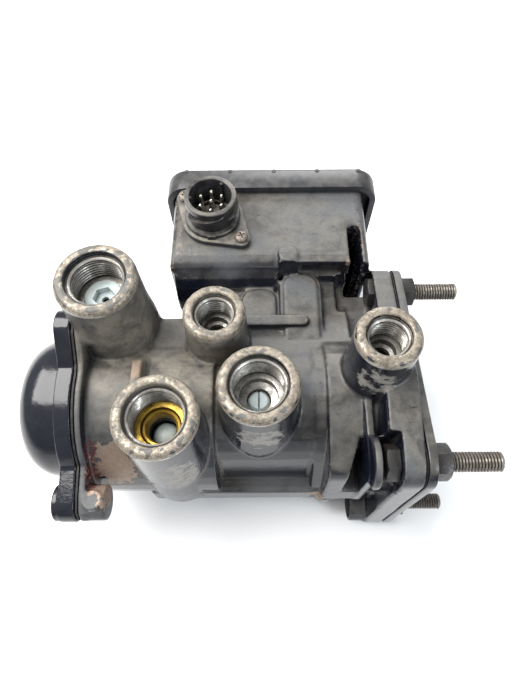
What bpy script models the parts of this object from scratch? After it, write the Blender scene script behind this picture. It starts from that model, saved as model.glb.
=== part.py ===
"""Electro-pneumatic brake control valve with five threaded ports and a three-bolt flange.

Frame: metres, +Z up. X runs along the valve bore from the domed end cap to the mounting flange,
Y runs from the port side to the electronics lid, and the origin is the middle of the footprint.
Lengths below are in millimetres, and MM turns them into metres when a mesh is made.
"""
import math

import bmesh
import bpy
from mathutils import Vector

MM = 0.001
GAP = 0.3

# Valve bore: every turned inner piece shares this axis, which runs along X.
BORE_Y = -31.0
BORE_Z = 61.0
PISTON_BORE_R = 26.0
VALVE_BORE_R = 20.0
PISTON_BORE_X = (-72.0, -5.0)
VALVE_BORE_X = (3.0, 69.0)
SEAT_HOLE_R = 8.5
SEAT_POCKET_R = 12.0
SEAT_POCKET_X = -1.0
STOP_GROOVE_X = (-54.6, -52.6)
STOP_GROOVE_R = 27.8
GUIDE_GROOVE_X = (27.3, 29.3)
GUIDE_GROOVE_R = 21.4
EXHAUST_X = (-20.0, 34.5)
EXHAUST_CHANNEL_Z = 29.0
EXHAUST_CHANNEL_R = 3.8

# Ports: centre of the rim and size. A large port is M22 x 1.5, a small one M16 x 1.5.
LARGE = {"rim": 16.0, "counterbore": 12.1, "thread": 10.3, "step": 8.0}
SMALL = {"rim": 12.5, "counterbore": 8.8, "thread": 7.3, "step": 5.6}
PORTS = {
    "a": {"at": (-58.4, -2.1, 127.2), "size": LARGE, "foot": (21.0, 46.0), "flare": 30.0,
          "passage": (6.0, 62.0)},
    "b": {"at": (-33.4, -53.5, 115.8), "size": LARGE, "foot": (17.5, 36.0), "flare": 60.0,
          "passage": (3.0, 70.0)},
    "c": {"at": (-13.5, -9.3, 113.1), "size": SMALL, "foot": (15.0, 60.0), "flare": 25.0,
          "passage": (4.0, 68.0)},
    "d": {"at": (4.4, -39.9, 111.9), "size": LARGE, "foot": (18.5, 62.0), "flare": 28.0,
          "passage": (3.0, 72.0)},
    "e": {"at": (53.1, -26.3, 124.3), "size": SMALL, "foot": (14.2, 70.0), "flare": 30.0,
          "passage": (4.0, 74.0)},
}
COUNTERBORE_DEPTH = 2.2
THREAD_DEPTH = 15.0
STEP_DEPTH = 19.0
# Ports B and D hold a spring-loaded check plunger: (bore radius, ledge under the spring).
PLUNGER_BORES = {"b": (5.8, 77.5), "d": (4.9, 82.0)}

# Body casting.
BODY_BOTTOM = 21.4
LEFT_FACE_X = -70.6
LEFT_FLANGE_X = -67.6
LEFT_LUG_ANGLES = (64.0, 172.0, 250.0, 352.0)
LUG_REACH_X = (-64.0, -59.6, -59.0, -60.0)
CAP_SCREW_END_X = (-65.5, -63.0, -63.0, -63.0)
LEFT_LUG_RING_R = 45.5
LEFT_LUG_R = 8.0
CAP_PLATE_X = (-78.9, -72.0)
CAP_LUG_X = (CAP_PLATE_X[0], -81.7, -81.7, -81.7)
RIGHT_FLANGE_X = (58.0, 67.2)
FLANGE_BOLTS = ((20.6, 78.1), (-65.7, 91.0), (-67.0, 10.5))
FLANGE_LUG_R = 10.5
FLANGE_DISC_R = 34.0
COVER_X = (68.0, 71.8)
BOLT_HOLE_R = 4.3
BOLT_HEADS_X = (61.4, 58.5, 61.4)
BOLT_TIPS_X = (99.6, 99.6, 98.6)
HEAD_POCKET_R = 9.3

# Electronics box, part of the casting, with its open side to +Y, and the lid over it.
BOX_X = (-38.0, 57.5)
BOX_Y = (29.0, 74.0)
BOX_Z = (4.0, 92.0)
LID_X = (-42.2, 64.7)
LID_Y = (70.5, 84.0)
LID_Z = (0.0, 96.5)
LID_WALL = 3.0
LID_CORNER_R = 11.5
BOX_CORNER_R = 5.0
COMPONENT_BAY = ((-30.0, 42.0), (12.0, 84.0))
BOARD_BAY = ((-33.0, 53.0), (9.0, 87.0))
BOARD_CORNER_R = 15.0
BAY_FLOOR_Y = 33.0
BOARD_Y = (65.5, 67.1)
LID_SCREWS = ((-32.0, 10.0), (-32.0, 86.0), (52.0, 10.0), (52.0, 86.0))

# Connector on top of the box.
PLUG_XY = (-17.5, 53.6)
PLUG_TOP = 110.0
PLUG_SCREWS = ((-3.6, 40.6), (-31.4, 65.7))

SILENCER_R = 19.0
SOLENOIDS_X = (-10.0, 20.0)
SOLENOID_Z = 58.0

TURNS = {"+X": (0, math.pi / 2, 0), "+Y": (-math.pi / 2, 0, 0), "+Z": (0, 0, 0)}

FINISHES = {
    "cast_paint": ((0.045, 0.045, 0.05), 0.42, 0.25),
    "cap_paint": ((0.01, 0.01, 0.014), 0.18, 0.2),
    "plate_paint": ((0.06, 0.06, 0.062), 0.4, 0.4),
    "rubber": ((0.012, 0.012, 0.012), 0.8, 0.0),
    "screw_steel": ((0.30, 0.28, 0.26), 0.45, 0.9),
    "bolt_steel": ((0.16, 0.15, 0.14), 0.5, 0.85),
    "lid_plastic": ((0.075, 0.08, 0.088), 0.45, 0.0),
    "plug_plastic": ((0.03, 0.03, 0.034), 0.45, 0.0),
    "pin_metal": ((0.72, 0.70, 0.62), 0.25, 1.0),
    "board": ((0.02, 0.13, 0.06), 0.5, 0.0),
    "piston_metal": ((0.55, 0.56, 0.57), 0.35, 0.95),
    "brass": ((0.62, 0.47, 0.10), 0.4, 0.85),
    "white_plastic": ((0.72, 0.74, 0.70), 0.45, 0.0),
    "spring_steel": ((0.42, 0.42, 0.43), 0.3, 1.0),
    "coil_resin": ((0.02, 0.02, 0.02), 0.5, 0.0),
    "sensor_metal": ((0.5, 0.5, 0.5), 0.35, 0.9),
}


# ---------------------------------------------------------------- shared helpers

def finish_material(name):
    """The Principled material of one finish, made once."""
    if name in bpy.data.materials:
        return bpy.data.materials[name]
    colour, roughness, metallic = FINISHES[name]
    material = bpy.data.materials.new(name)
    material.use_nodes = True
    shader = material.node_tree.nodes["Principled BSDF"]
    shader.inputs["Base Color"].default_value = (*colour, 1.0)
    shader.inputs["Roughness"].default_value = roughness
    shader.inputs["Metallic"].default_value = metallic
    material.diffuse_color = (*colour, 1.0)
    return material


def add_object(name, bm, finish, place=(0, 0, 0), facing="+Z"):
    """Turn a bmesh in millimetres into an object in metres at its place."""
    bmesh.ops.recalc_face_normals(bm, faces=bm.faces)
    bmesh.ops.scale(bm, vec=(MM, MM, MM), verts=bm.verts)
    mesh = bpy.data.meshes.new(name)
    bm.to_mesh(mesh)
    bm.free()
    shade(mesh)
    mesh.materials.append(finish_material(finish))
    piece = bpy.data.objects.new(name, mesh)
    piece.location = Vector(place) * MM
    piece.rotation_euler = TURNS[facing]
    bpy.context.collection.objects.link(piece)
    return piece


def shade(mesh):
    mesh.shade_smooth()
    mesh.set_sharp_from_angle(angle=math.radians(35))


def turned(name, finish, profile, place=(0, 0, 0), facing="+Z", steps=24, hollow=False):
    """A turned piece from points (radius, height). A hollow one's profile is a closed loop,
    and a solid one's runs from one flat end to the other."""
    bm = bmesh.new()
    points = [bm.verts.new((radius, 0, height)) for radius, height in profile]
    lines = [bm.edges.new(pair) for pair in zip(points, points[1:])]
    if hollow:
        lines.append(bm.edges.new((points[-1], points[0])))
    bmesh.ops.spin(bm, geom=points + lines, cent=(0, 0, 0), axis=(0, 0, 1),
                   angle=2 * math.pi, steps=steps, use_merge=True)
    if not hollow:
        bmesh.ops.holes_fill(bm, edges=[edge for edge in bm.edges if edge.is_boundary])
    return add_object(name, bm, finish, place, facing)


def rod(name, finish, radius, low, high, place, facing="+Z", steps=24):
    return turned(name, finish, [(radius, low), (radius, high)], place, facing, steps)


def ring(name, finish, outer, inner, low, high, place, facing="+Z", steps=24):
    profile = [(inner, low), (outer, low), (outer, high), (inner, high)]
    return turned(name, finish, profile, place, facing, steps, hollow=True)


def extruded(name, finish, outline, low, high, normal):
    """A flat piece. The outline's points are (Y, Z), (X, Z) or (X, Y) for a normal of X, Y or Z."""
    place_point = {
        "X": lambda u, v, h: (h, u, v),
        "Y": lambda u, v, h: (u, h, v),
        "Z": lambda u, v, h: (u, v, h),
    }[normal]
    bm = bmesh.new()
    base = bm.faces.new([bm.verts.new(place_point(u, v, low)) for u, v in outline])
    grown = bmesh.ops.extrude_face_region(bm, geom=[base])["geom"]
    new_points = [item for item in grown if isinstance(item, bmesh.types.BMVert)]
    shift = Vector(place_point(0, 0, high)) - Vector(place_point(0, 0, low))
    bmesh.ops.translate(bm, vec=shift, verts=new_points)
    return add_object(name, bm, finish)


def arc(centre, radius, start, end, steps):
    """Points on an arc, with its angles in degrees."""
    points = []
    for step in range(steps + 1):
        angle = math.radians(start + (end - start) * step / steps)
        points.append((centre[0] + radius * math.cos(angle), centre[1] + radius * math.sin(angle)))
    return points


def circle(centre, radius, steps=24):
    return arc(centre, radius, 0, 360, steps)[:-1]


def rounded_rectangle(span_u, span_v, radius, steps=4):
    corners = (
        (span_u[1] - radius, span_v[1] - radius, 0),
        (span_u[0] + radius, span_v[1] - radius, 90),
        (span_u[0] + radius, span_v[0] + radius, 180),
        (span_u[1] - radius, span_v[0] + radius, 270),
    )
    outline = []
    for u, v, start in corners:
        outline += arc((u, v), radius, start, start + 90, steps)
    return outline


def inset(span, distance):
    return (span[0] + distance, span[1] - distance)


def wrapped(circles, steps=32):
    """The taut outline around circles given as (u, v, radius)."""
    points = set()
    for u, v, radius in circles:
        points.update((round(x, 4), round(y, 4)) for x, y in circle((u, v), radius, steps))
    points = sorted(points)
    halves = []
    for run in (points, points[::-1]):
        half = []
        for point in run:
            while len(half) > 1 and turn(half[-2], half[-1], point) <= 1e-6:
                half.pop()
            half.append(point)
        halves.append(half[:-1])
    return halves[0] + halves[1]


def turn(a, b, c):
    return (b[0] - a[0]) * (c[1] - a[1]) - (b[1] - a[1]) * (c[0] - a[0])


def combine(target, tools, operation):
    """Join tools to the target, or cut them from it, and remove them."""
    for tool in tools:
        modifier = target.modifiers.new(tool.name, "BOOLEAN")
        modifier.operation = operation
        modifier.solver = "EXACT"
        modifier.object = tool
    bpy.context.view_layer.update()
    graph = bpy.context.evaluated_depsgraph_get()
    mesh = bpy.data.meshes.new_from_object(target.evaluated_get(graph))
    target.modifiers.clear()
    finish = target.data.materials[0]
    target.data = mesh
    mesh.materials.clear()
    mesh.materials.append(finish)
    shade(mesh)
    for tool in tools:
        bpy.data.objects.remove(tool)
    return target


def bolt_holes(centres, radius, low, high, normal_facing, steps=16):
    """Round cutters along X at (Y, Z) centres, or along Y at (X, Z) centres."""
    cutters = []
    for index, (u, v) in enumerate(centres):
        place = (0, u, v) if normal_facing == "+X" else (u, 0, v)
        name = f"hole_{normal_facing}_{radius}_{index}"
        cutters.append(rod(name, "rubber", radius, low, high, place, normal_facing, steps))
    return cutters


def coil_spring(name, radius, wire_r, low, high, turns, place, facing):
    """A round-wire spring with a free coil, as one closed tube."""
    steps_per_turn = 8
    sides = 4
    count = turns * steps_per_turn
    lift = (high - low - 2 * wire_r) / count
    bm = bmesh.new()
    loops = []
    for step in range(count + 1):
        angle = 2 * math.pi * step / steps_per_turn
        height = low + wire_r + lift * step
        loop = []
        for side in range(sides):
            around = 2 * math.pi * side / sides
            reach = radius + wire_r * math.cos(around)
            spot = (reach * math.cos(angle), reach * math.sin(angle),
                    height + wire_r * math.sin(around))
            loop.append(bm.verts.new(spot))
        loops.append(loop)
    for first, second in zip(loops, loops[1:]):
        for side in range(sides):
            after = (side + 1) % sides
            bm.faces.new((first[side], first[after], second[after], second[side]))
    bm.faces.new(loops[0][::-1])
    bm.faces.new(loops[-1])
    return add_object(name, bm, "spring_steel", place, facing)


def hexagon(across_flats, lean=0.0):
    return arc((0, 0), across_flats / math.sqrt(3), lean, lean + 360, 6)[:-1]


def ring_of_lugs():
    """(Y, Z) of the end cap's screws."""
    spots = []
    for angle in LEFT_LUG_ANGLES:
        y = BORE_Y + LEFT_LUG_RING_R * math.cos(math.radians(angle))
        z = BORE_Z + LEFT_LUG_RING_R * math.sin(math.radians(angle))
        spots.append((y, z))
    return spots


ON_BORE = (0, BORE_Y, BORE_Z)


# ---------------------------------------------------------------- valve body

def lobed_outline(shrink=0.0):
    """The lobed outline that the end cap, its gasket and the body share, as (Y, Z)."""
    shapes = [circle((BORE_Y, BORE_Z), 37.0 - shrink, 72)]
    for y, z in ring_of_lugs():
        shapes.append(wrapped([(y, z, LEFT_LUG_R - shrink), (BORE_Y, BORE_Z, 24.0)], 24))
    outline = []
    for step in range(72):
        angle = math.radians(5 * step + 2)
        heading = (math.cos(angle), math.sin(angle))
        reach = max(reach_of(shape, heading) for shape in shapes)
        outline.append((BORE_Y + reach * heading[0], BORE_Z + reach * heading[1]))
    return outline


def reach_of(shape, heading):
    """How far a convex outline around the bore reaches along a heading."""
    best = 0.0
    for (y0, z0), (y1, z1) in zip(shape, shape[1:] + shape[:1]):
        side_y, side_z = y1 - y0, z1 - z0
        across = heading[0] * side_z - heading[1] * side_y
        if abs(across) < 1e-9:
            continue
        away_y, away_z = y0 - BORE_Y, z0 - BORE_Z
        distance = (away_y * side_z - away_z * side_y) / across
        along = (away_y * heading[1] - away_z * heading[0]) / across
        if -1e-9 <= along <= 1 + 1e-9:
            best = max(best, distance)
    return best


def lobed_plate(name, finish, low, high, shrink=0.0):
    return extruded(name, finish, lobed_outline(shrink), low, high, "X")


def port_boss(name, port):
    x, y, top = port["at"]
    rim = port["size"]["rim"]
    foot_r, foot_z = port["foot"]
    flare_z = top - port["flare"]
    profile = [
        (foot_r, foot_z), (foot_r, min(flare_z, foot_z + 14)), (rim + 0.8, flare_z + 8),
        (rim + 0.3, top - 3), (rim, top - 0.9), (rim - 0.9, top),
    ]
    return turned(f"boss_{name}", "cast_paint", profile, (x, y, 0), steps=28)


def port_cutter(name, port):
    """The stepped bore of one port, from above its rim down to its passage."""
    x, y, top = port["at"]
    size = port["size"]
    passage_r, passage_z = port["passage"]
    low_step = top - STEP_DEPTH
    profile = [(size["counterbore"], top + 1), (size["counterbore"], top - COUNTERBORE_DEPTH),
               (size["thread"], top - COUNTERBORE_DEPTH - 1.2), (size["thread"], top - THREAD_DEPTH),
               (size["step"], top - THREAD_DEPTH), (size["step"], low_step)]
    if name in PLUNGER_BORES:
        bore_r, ledge = PLUNGER_BORES[name]
        profile += [(bore_r, low_step), (bore_r, ledge)]
        low_step = ledge
    profile += [(passage_r, low_step), (passage_r, passage_z)]
    return turned(f"port_cut_{name}", "cast_paint", profile, (x, y, 0), steps=24)


def barrel_pieces():
    """Stretches of the barrel along X, each with its own outline in (Y, Z)."""
    piston_end = wrapped([(BORE_Y, 62.0, 31.5), (BORE_Y, 53.0, 37.0)], 36)
    valve_end = wrapped([(BORE_Y, 62.0, 28.5), (BORE_Y, 48.0, 30.0)], 28)
    shoulder = wrapped([(BORE_Y, 62.0, 29.3), (-62.0, 45.0, 4.0), (-10.0, 40.0, 6.0)], 28)
    apron = wrapped([(BORE_Y, 62.5, 30.4), (-60.5, 74.0, 9.0), (-66.5, 46.0, 5.0)], 28)
    gusset = wrapped([(BORE_Y, 62.5, 31.2), (-64.0, 82.5, 8.0), (-68.0, 46.0, 4.0)], 28)
    shelf = wrapped([(BORE_Y, 62.0, 27.0), (-3.5, 80.5, 8.0), (-3.5, 50.0, 8.0)], 28)
    wedge = [(-19.0, 84.0), (-20.5, 93.0), (-24.5, 99.5), (-42.0, 101.0), (-42.0, 84.0)]
    return [
        extruded("barrel_piston", "cast_paint", piston_end, LEFT_FACE_X + 1, -14.5, "X"),
        extruded("barrel_valve", "cast_paint", valve_end, -16.0, 60.0, "X"),
        extruded("barrel_shoulder", "cast_paint", shoulder, 28.0, 59.0, "X"),
        extruded("barrel_apron", "cast_paint", apron, 33.0, 50.0, "X"),
        extruded("barrel_gusset", "cast_paint", gusset, 47.6, 51.0, "X"),
        extruded("barrel_shelf", "cast_paint", shelf, -63.0, -12.0, "X"),
        extruded("port_b_wedge", "cast_paint", wedge, -48.0, -43.6, "X"),
    ]


def body_blocks():
    skirt = [(-68.0, 29.0), (-68.0, 42.5), (-66.5, 44.0), (-10.0, 44.0), (-10.0, 29.0)]
    bridge = [(-31.0, 24.0), (-31.0, 88.0), (-18.0, 86.8), (-4.0, 81.0), (10.0, 76.0),
              (30.0, 74.5), (30.0, 24.0)]
    slope = [(31.0, 60.0), (31.0, 88.0), (28.95, 86.8), (26.0, 82.6), (23.5, 77.0), (22.0, 70.0),
             (22.0, 60.0)]
    pieces = [
        extruded("skirt", "cast_paint", skirt, -47.0, 66.0, "X"),
        extruded("bridge", "cast_paint", bridge, -24.0, 46.8, "X"),
        extruded("bridge_low", "cast_paint", rounded_rectangle((36.0, 60.0), (-14.0, 24.0), 3.0),
                 30.0, 69.0, "Z"),
        extruded("bar", "cast_paint", rounded_rectangle((-3.0, 27.5), (-0.4, 5.2), 2.7), 72.0,
                 84.6, "Z"),
        extruded("slope", "cast_paint", slope, -36.5, 14.0, "X"),
        rod("chock", "cast_paint", 4.6, 30.0, 40.0, (35.0, -66.5, 0)),
        rod("ejector_mark", "cast_paint", 4.5, 78.0, 92.9, (18.5, 33.6, 0)),
    ]
    for low_x, high_x, back_y, top in ((14.3, 34.6, 31.0, 82.4), (-5.6, 14.9, 24.5, 79.4)):
        outline = rounded_rectangle((low_x, high_x), (-22.0, back_y), 8.4, 5)
        crown = rounded_rectangle(inset((low_x, high_x), 2.2), (-20.0, back_y - 2.2), 6.4, 5)
        pieces.append(extruded(f"pad_{top}", "cast_paint", outline, 50.0, top - 1.6, "Z"))
        pieces.append(extruded(f"pad_crown_{top}", "cast_paint", crown, 51.0, top, "Z"))
    box = extruded("box", "cast_paint", rounded_rectangle(BOX_X, BOX_Z, BOX_CORNER_R), *BOX_Y, "Y")
    undercut = extruded("undercut", "cast_paint",
                        rounded_rectangle((23.2, 45.0), (20.0, 31.6), 1.0), 80.0, 88.6, "Z")
    shoulder = [(27.0, 84.0), (28.9, 87.0), (31.0, 89.6), (34.0, 91.4), (38.0, BOX_Z[1] + 0.1),
                (38.0, 96.0), (27.0, 96.0)]
    soft_edge = extruded("soft_edge", "cast_paint", shoulder, -40.0, 14.0, "X")
    pieces.append(combine(box, [undercut, soft_edge], "DIFFERENCE"))
    return pieces


def flange_circles(shrink=0.0):
    lugs = [(y, z, FLANGE_LUG_R - shrink) for y, z in FLANGE_BOLTS]
    return lugs + [(BORE_Y, 59.0, FLANGE_DISC_R - shrink)]


def flange_pieces():
    """The three-bolt flange, the wall from port E down to its front lug, and the lugs' bosses."""
    low_y, low_z = FLANGE_BOLTS[2]
    front_y, front_z = FLANGE_BOLTS[1]
    back_y, back_z = FLANGE_BOLTS[0]
    wall = wrapped([(front_y, front_z, FLANGE_LUG_R), (-36.0, 98.0, 8.0), (-14.0, 92.0, 8.0),
                    (BORE_Y, 60.0, 20.0)], 24)
    stem = [(42.0, 84.0), (RIGHT_FLANGE_X[1], 84.0), (RIGHT_FLANGE_X[1], 98.0), (60.0, 104.0),
            (46.0, 98.0)]
    return [
        extruded("flange_slab", "cast_paint", wrapped(flange_circles(), 28), *RIGHT_FLANGE_X, "X"),
        extruded("flange_wall", "cast_paint", wall, 54.0, RIGHT_FLANGE_X[1], "X"),
        extruded("port_e_web", "cast_paint", stem, BORE_Y - 4, BORE_Y + 16, "Y"),
        rod("front_block", "cast_paint", FLANGE_LUG_R, 48.0, RIGHT_FLANGE_X[1],
            (0, front_y, front_z), "+X"),
        rod("low_boss", "cast_paint", 9.6, 50.0, RIGHT_FLANGE_X[1], (0, low_y, low_z), "+X"),
        rod("back_boss", "cast_paint", 8.6, 48.0, RIGHT_FLANGE_X[1], (0, back_y, back_z), "+X"),
    ]


def box_cutters():
    bay = rounded_rectangle(*COMPONENT_BAY, 8.0)
    board = rounded_rectangle(*BOARD_BAY, BOARD_CORNER_R)
    slot = rounded_rectangle((47.6, 53.6), (28.0, 50.0), 2.0)
    return [
        extruded("bay_cut", "cast_paint", bay, BAY_FLOOR_Y, BOX_Y[1] - 8, "Y"),
        extruded("board_cut", "cast_paint", board, BOARD_Y[0] - 0.3, BOX_Y[1] + 1, "Y"),
        extruded("slot_cut", "cast_paint", slot, BOX_Z[0] - 1, BOX_Z[1] + 2, "Z"),
        rod("wire_hole", "cast_paint", 8.0, 80.0, BOX_Z[1] + 2, (*PLUG_XY, 0)),
    ]


def bore_cutters():
    x0, x1 = PISTON_BORE_X
    profile = [
        (PISTON_BORE_R, x0), (PISTON_BORE_R, STOP_GROOVE_X[0]), (STOP_GROOVE_R, STOP_GROOVE_X[0]),
        (STOP_GROOVE_R, STOP_GROOVE_X[1]), (PISTON_BORE_R, STOP_GROOVE_X[1]), (PISTON_BORE_R, x1),
        (SEAT_HOLE_R, x1), (SEAT_HOLE_R, SEAT_POCKET_X), (SEAT_POCKET_R, SEAT_POCKET_X),
        (SEAT_POCKET_R, VALVE_BORE_X[0]), (VALVE_BORE_R, VALVE_BORE_X[0]),
        (VALVE_BORE_R, GUIDE_GROOVE_X[0]),
        (GUIDE_GROOVE_R, GUIDE_GROOVE_X[0]), (GUIDE_GROOVE_R, GUIDE_GROOVE_X[1]),
        (VALVE_BORE_R, GUIDE_GROOVE_X[1]), (VALVE_BORE_R, VALVE_BORE_X[1]), ]
    exhaust_x, chamber_x = EXHAUST_X
    channel = (EXHAUST_CHANNEL_R, exhaust_x, VALVE_BORE_X[1], (0, BORE_Y, EXHAUST_CHANNEL_Z), "+X", 16)
    return [
        turned("bore_cut", "cast_paint", profile, ON_BORE, "+X", 32),
        rod("channel_cut", "cast_paint", *channel),
        rod("drop_cut", "cast_paint", 3.4, 28.0, 50.0, (chamber_x, BORE_Y, 0), steps=16),
        rod("outlet_cut", "cast_paint", 9.0, 12.0, 30.0, (exhaust_x, BORE_Y, 0), steps=20),
    ]


def head_pockets():
    """Room for the heads of the three flange bolts. The front one is open to the front and top."""
    (back_y, back_z), (front_y, front_z), (low_y, low_z) = FLANGE_BOLTS
    corners = [(front_y, front_z), (front_y - 25, front_z), (front_y, front_z + 25),
               (front_y - 25, front_z + 25)]
    notch = wrapped([(y, z, HEAD_POCKET_R) for y, z in corners], 28)
    return [
        extruded("front_pocket", "cast_paint", notch, 51.0, BOLT_HEADS_X[1] + GAP, "X"),
        extruded("recess", "cast_paint", [(47.6, -49.0), (47.6, -71.0), (40.6, -71.0)], 58.0,
                 100.0, "Z"),
        rod("low_pocket", "cast_paint", 7.9, 40.0, BOLT_HEADS_X[2] + GAP, (0, low_y, low_z), "+X"),
        rod("back_pocket", "cast_paint", HEAD_POCKET_R, 42.0, BOLT_HEADS_X[0] + GAP,
            (0, back_y, back_z), "+X"),
    ]


def make_valve_body():
    body = lobed_plate("valve_body", "cast_paint", LEFT_FACE_X, LEFT_FLANGE_X)
    lugs = []
    for index, (y, z) in enumerate(ring_of_lugs()):
        place = (0, y, z)
        lugs.append(rod(f"lug_{index}", "cast_paint", LEFT_LUG_R - 0.4, LEFT_FACE_X + 0.5,
                        LUG_REACH_X[index], place, "+X"))
    bosses = {name: port_boss(name, port) for name, port in PORTS.items()}
    beside_cap = [(-95.0, 10.0), (LEFT_FACE_X + 0.5, 10.0), (LEFT_FACE_X + 0.5, 114.0), (-95.0, 114.0)]
    combine(bosses["a"], [extruded("beside_cap", "cast_paint", beside_cap, -40.0, 30.0, "Y")],
            "DIFFERENCE")
    combine(body,
            barrel_pieces() + body_blocks() + lugs + list(bosses.values()) + flange_pieces(), "UNION")
    under = extruded("under_cut", "cast_paint", rounded_rectangle((-60.0, 57.0), (-90.0, 28.5), 1.0),
                     -5.0, BODY_BOTTOM, "Z")
    combine(body, [under], "DIFFERENCE")
    extras = [
        rod("exhaust_boss", "cast_paint", 21.0, 15.2, 31.0, (EXHAUST_X[0], BORE_Y, 0), steps=28),
        rod("low_boss_again", "cast_paint", 9.6, 50.0, 60.0, (0, *FLANGE_BOLTS[2]), "+X"),
    ]
    combine(body, extras, "UNION")
    cutters = head_pockets() + box_cutters() + bore_cutters()
    cutters += [port_cutter(name, port) for name, port in PORTS.items()]
    cutters += bolt_holes(FLANGE_BOLTS, BOLT_HOLE_R, 50.0, 73.0, "+X")
    cutters += bolt_holes(ring_of_lugs(), 2.8, LEFT_FACE_X - 2, -61.5, "+X", 12)
    cutters += bolt_holes(LID_SCREWS, 1.9, 66.0, BOX_Y[1] + 2, "+Y", 10)
    for index, (x, y) in enumerate(PLUG_SCREWS):
        cutters.append(rod(f"plug_hole_{index}", "cast_paint", 1.4, 88.6, 94.0, (x, y, 0), steps=10))
    combine(body, cutters, "DIFFERENCE")
    return body


# ---------------------------------------------------------------- covers and fasteners

def make_end_cap():
    cap = lobed_plate("end_cap", "cap_paint", *CAP_PLATE_X)
    bosses = []
    heads = []
    for index, (y, z) in enumerate(ring_of_lugs()):
        face_x = CAP_LUG_X[index]
        if index:
            bosses.append(rod(f"cap_boss_{index}", "cap_paint", LEFT_LUG_R - 0.3, face_x, -73.0,
                              (0, y, z), "+X", 20))
        heads.append(rod(f"cap_head_{index}", "cap_paint", 5.4, -84.0, face_x + 4.4, (0, y, z),
                         "+X", 14))
    dome_end = -99.6
    dome = turned("dome", "cap_paint",
                  dome_profile(32.0, 14.0, dome_end, CAP_PLATE_X[0] + 3.0, 5), ON_BORE, "+X", 32)
    inside = turned("dome_hollow", "cap_paint",
                    dome_profile(28.0, 10.0, dome_end + 4.0, -71.0, 2), ON_BORE, "+X", 28)
    combine(cap, bosses + [dome], "UNION")
    holes = bolt_holes(ring_of_lugs(), 3.3, -84.0, -68.0, "+X", 10)
    return combine(cap, heads + [inside] + holes, "DIFFERENCE")


def dome_profile(radius, knee, end, base, steps):
    """A cup that points along -X, with a round knee between its flat end and its side."""
    profile = []
    for step in range(steps + 1):
        angle = math.radians(90 - 90 * step / steps)
        profile.append((radius - knee + knee * math.cos(angle), end + knee - knee * math.sin(angle)))
    return profile + [(radius, base)]


def make_end_cap_gasket():
    gasket = lobed_plate("end_cap_gasket", "rubber", -71.7, -70.9, shrink=0.6)
    hole = rod("gasket_hole", "rubber", 26.6, -73.0, -70.0, ON_BORE, "+X", 32)
    return combine(gasket, [hole] + bolt_holes(ring_of_lugs(), 3.3, -73.0, -70.0, "+X", 12),
                   "DIFFERENCE")


def make_end_cap_screws():
    for index, (y, z) in enumerate(ring_of_lugs()):
        low = CAP_LUG_X[index] + 0.4
        high = low + 3.7
        profile = [(4.4, low), (5.0, low + 0.6), (5.0, high), (2.5, high),
                   (2.5, CAP_SCREW_END_X[index])]
        turned(f"end_cap_screw_{index + 1}", "bolt_steel", profile, (0, y, z), "+X", 16)


def make_flange_plates():
    gasket = extruded("flange_gasket", "rubber", wrapped(flange_circles(0.8), 28), 67.5, 67.8, "X")
    opening = rod("gasket_opening", "rubber", 21.0, 66.0, 69.0, ON_BORE, "+X", 28)
    combine(gasket, [opening] + bolt_holes(FLANGE_BOLTS, BOLT_HOLE_R, 66.0, 69.0, "+X"), "DIFFERENCE")
    cover = extruded("flange_cover", "plate_paint", wrapped(flange_circles(), 28), *COVER_X, "X")
    combine(cover, bolt_holes(FLANGE_BOLTS, BOLT_HOLE_R, 66.0, 74.0, "+X"), "DIFFERENCE")


def make_mounting_bolts():
    head_height = 5.3
    nut_x = (COVER_X[1] + GAP, COVER_X[1] + GAP + 6.5)
    leans = (8.0, 4.0, 8.0)
    for index, (y, z) in enumerate(FLANGE_BOLTS):
        head_x = (BOLT_HEADS_X[index] - head_height, BOLT_HEADS_X[index])
        tip_x = BOLT_TIPS_X[index]
        shank = [(4.0, head_x[0] + 1), (4.0, tip_x - 0.9), (3.2, tip_x)]
        bolt = turned(f"mounting_bolt_{index + 1}", "bolt_steel", shank, (0, y, z), "+X", 20)
        head_points = [(y + u, z + v) for u, v in hexagon(13.0, leans[index])]
        combine(bolt, [extruded("bolt_head", "bolt_steel", head_points, *head_x, "X")], "UNION")
        nut_points = [(y + u, z + v) for u, v in hexagon(13.0, 20.0 * index)]
        nut = extruded(f"mounting_nut_{index + 1}", "bolt_steel", nut_points, *nut_x, "X")
        combine(nut, [rod("nut_hole", "bolt_steel", 4.4, 66.0, 84.0, (0, y, z), "+X", 20)],
                "DIFFERENCE")


def make_silencer():
    wall = [(13.0, 5.0), (13.0, 14.9), (SILENCER_R - 0.5, 14.9), (SILENCER_R, 13.5),
            (SILENCER_R, 1.0), (SILENCER_R - 1.0, 0.0)]
    silencer = turned("exhaust_silencer", "plug_plastic", wall, (EXHAUST_X[0], BORE_Y, 0), steps=32)
    slots = []
    for index in range(6):
        angle = math.radians(60 * index + 30)
        centre = (EXHAUST_X[0] + 14.5 * math.cos(angle), BORE_Y + 14.5 * math.sin(angle))
        slots.append(rod(f"silencer_slot_{index}", "plug_plastic", 2.6, 7.0, 17.0, (*centre, 0),
                         steps=8))
    return combine(silencer, slots, "DIFFERENCE")


# ---------------------------------------------------------------- electronics

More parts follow.
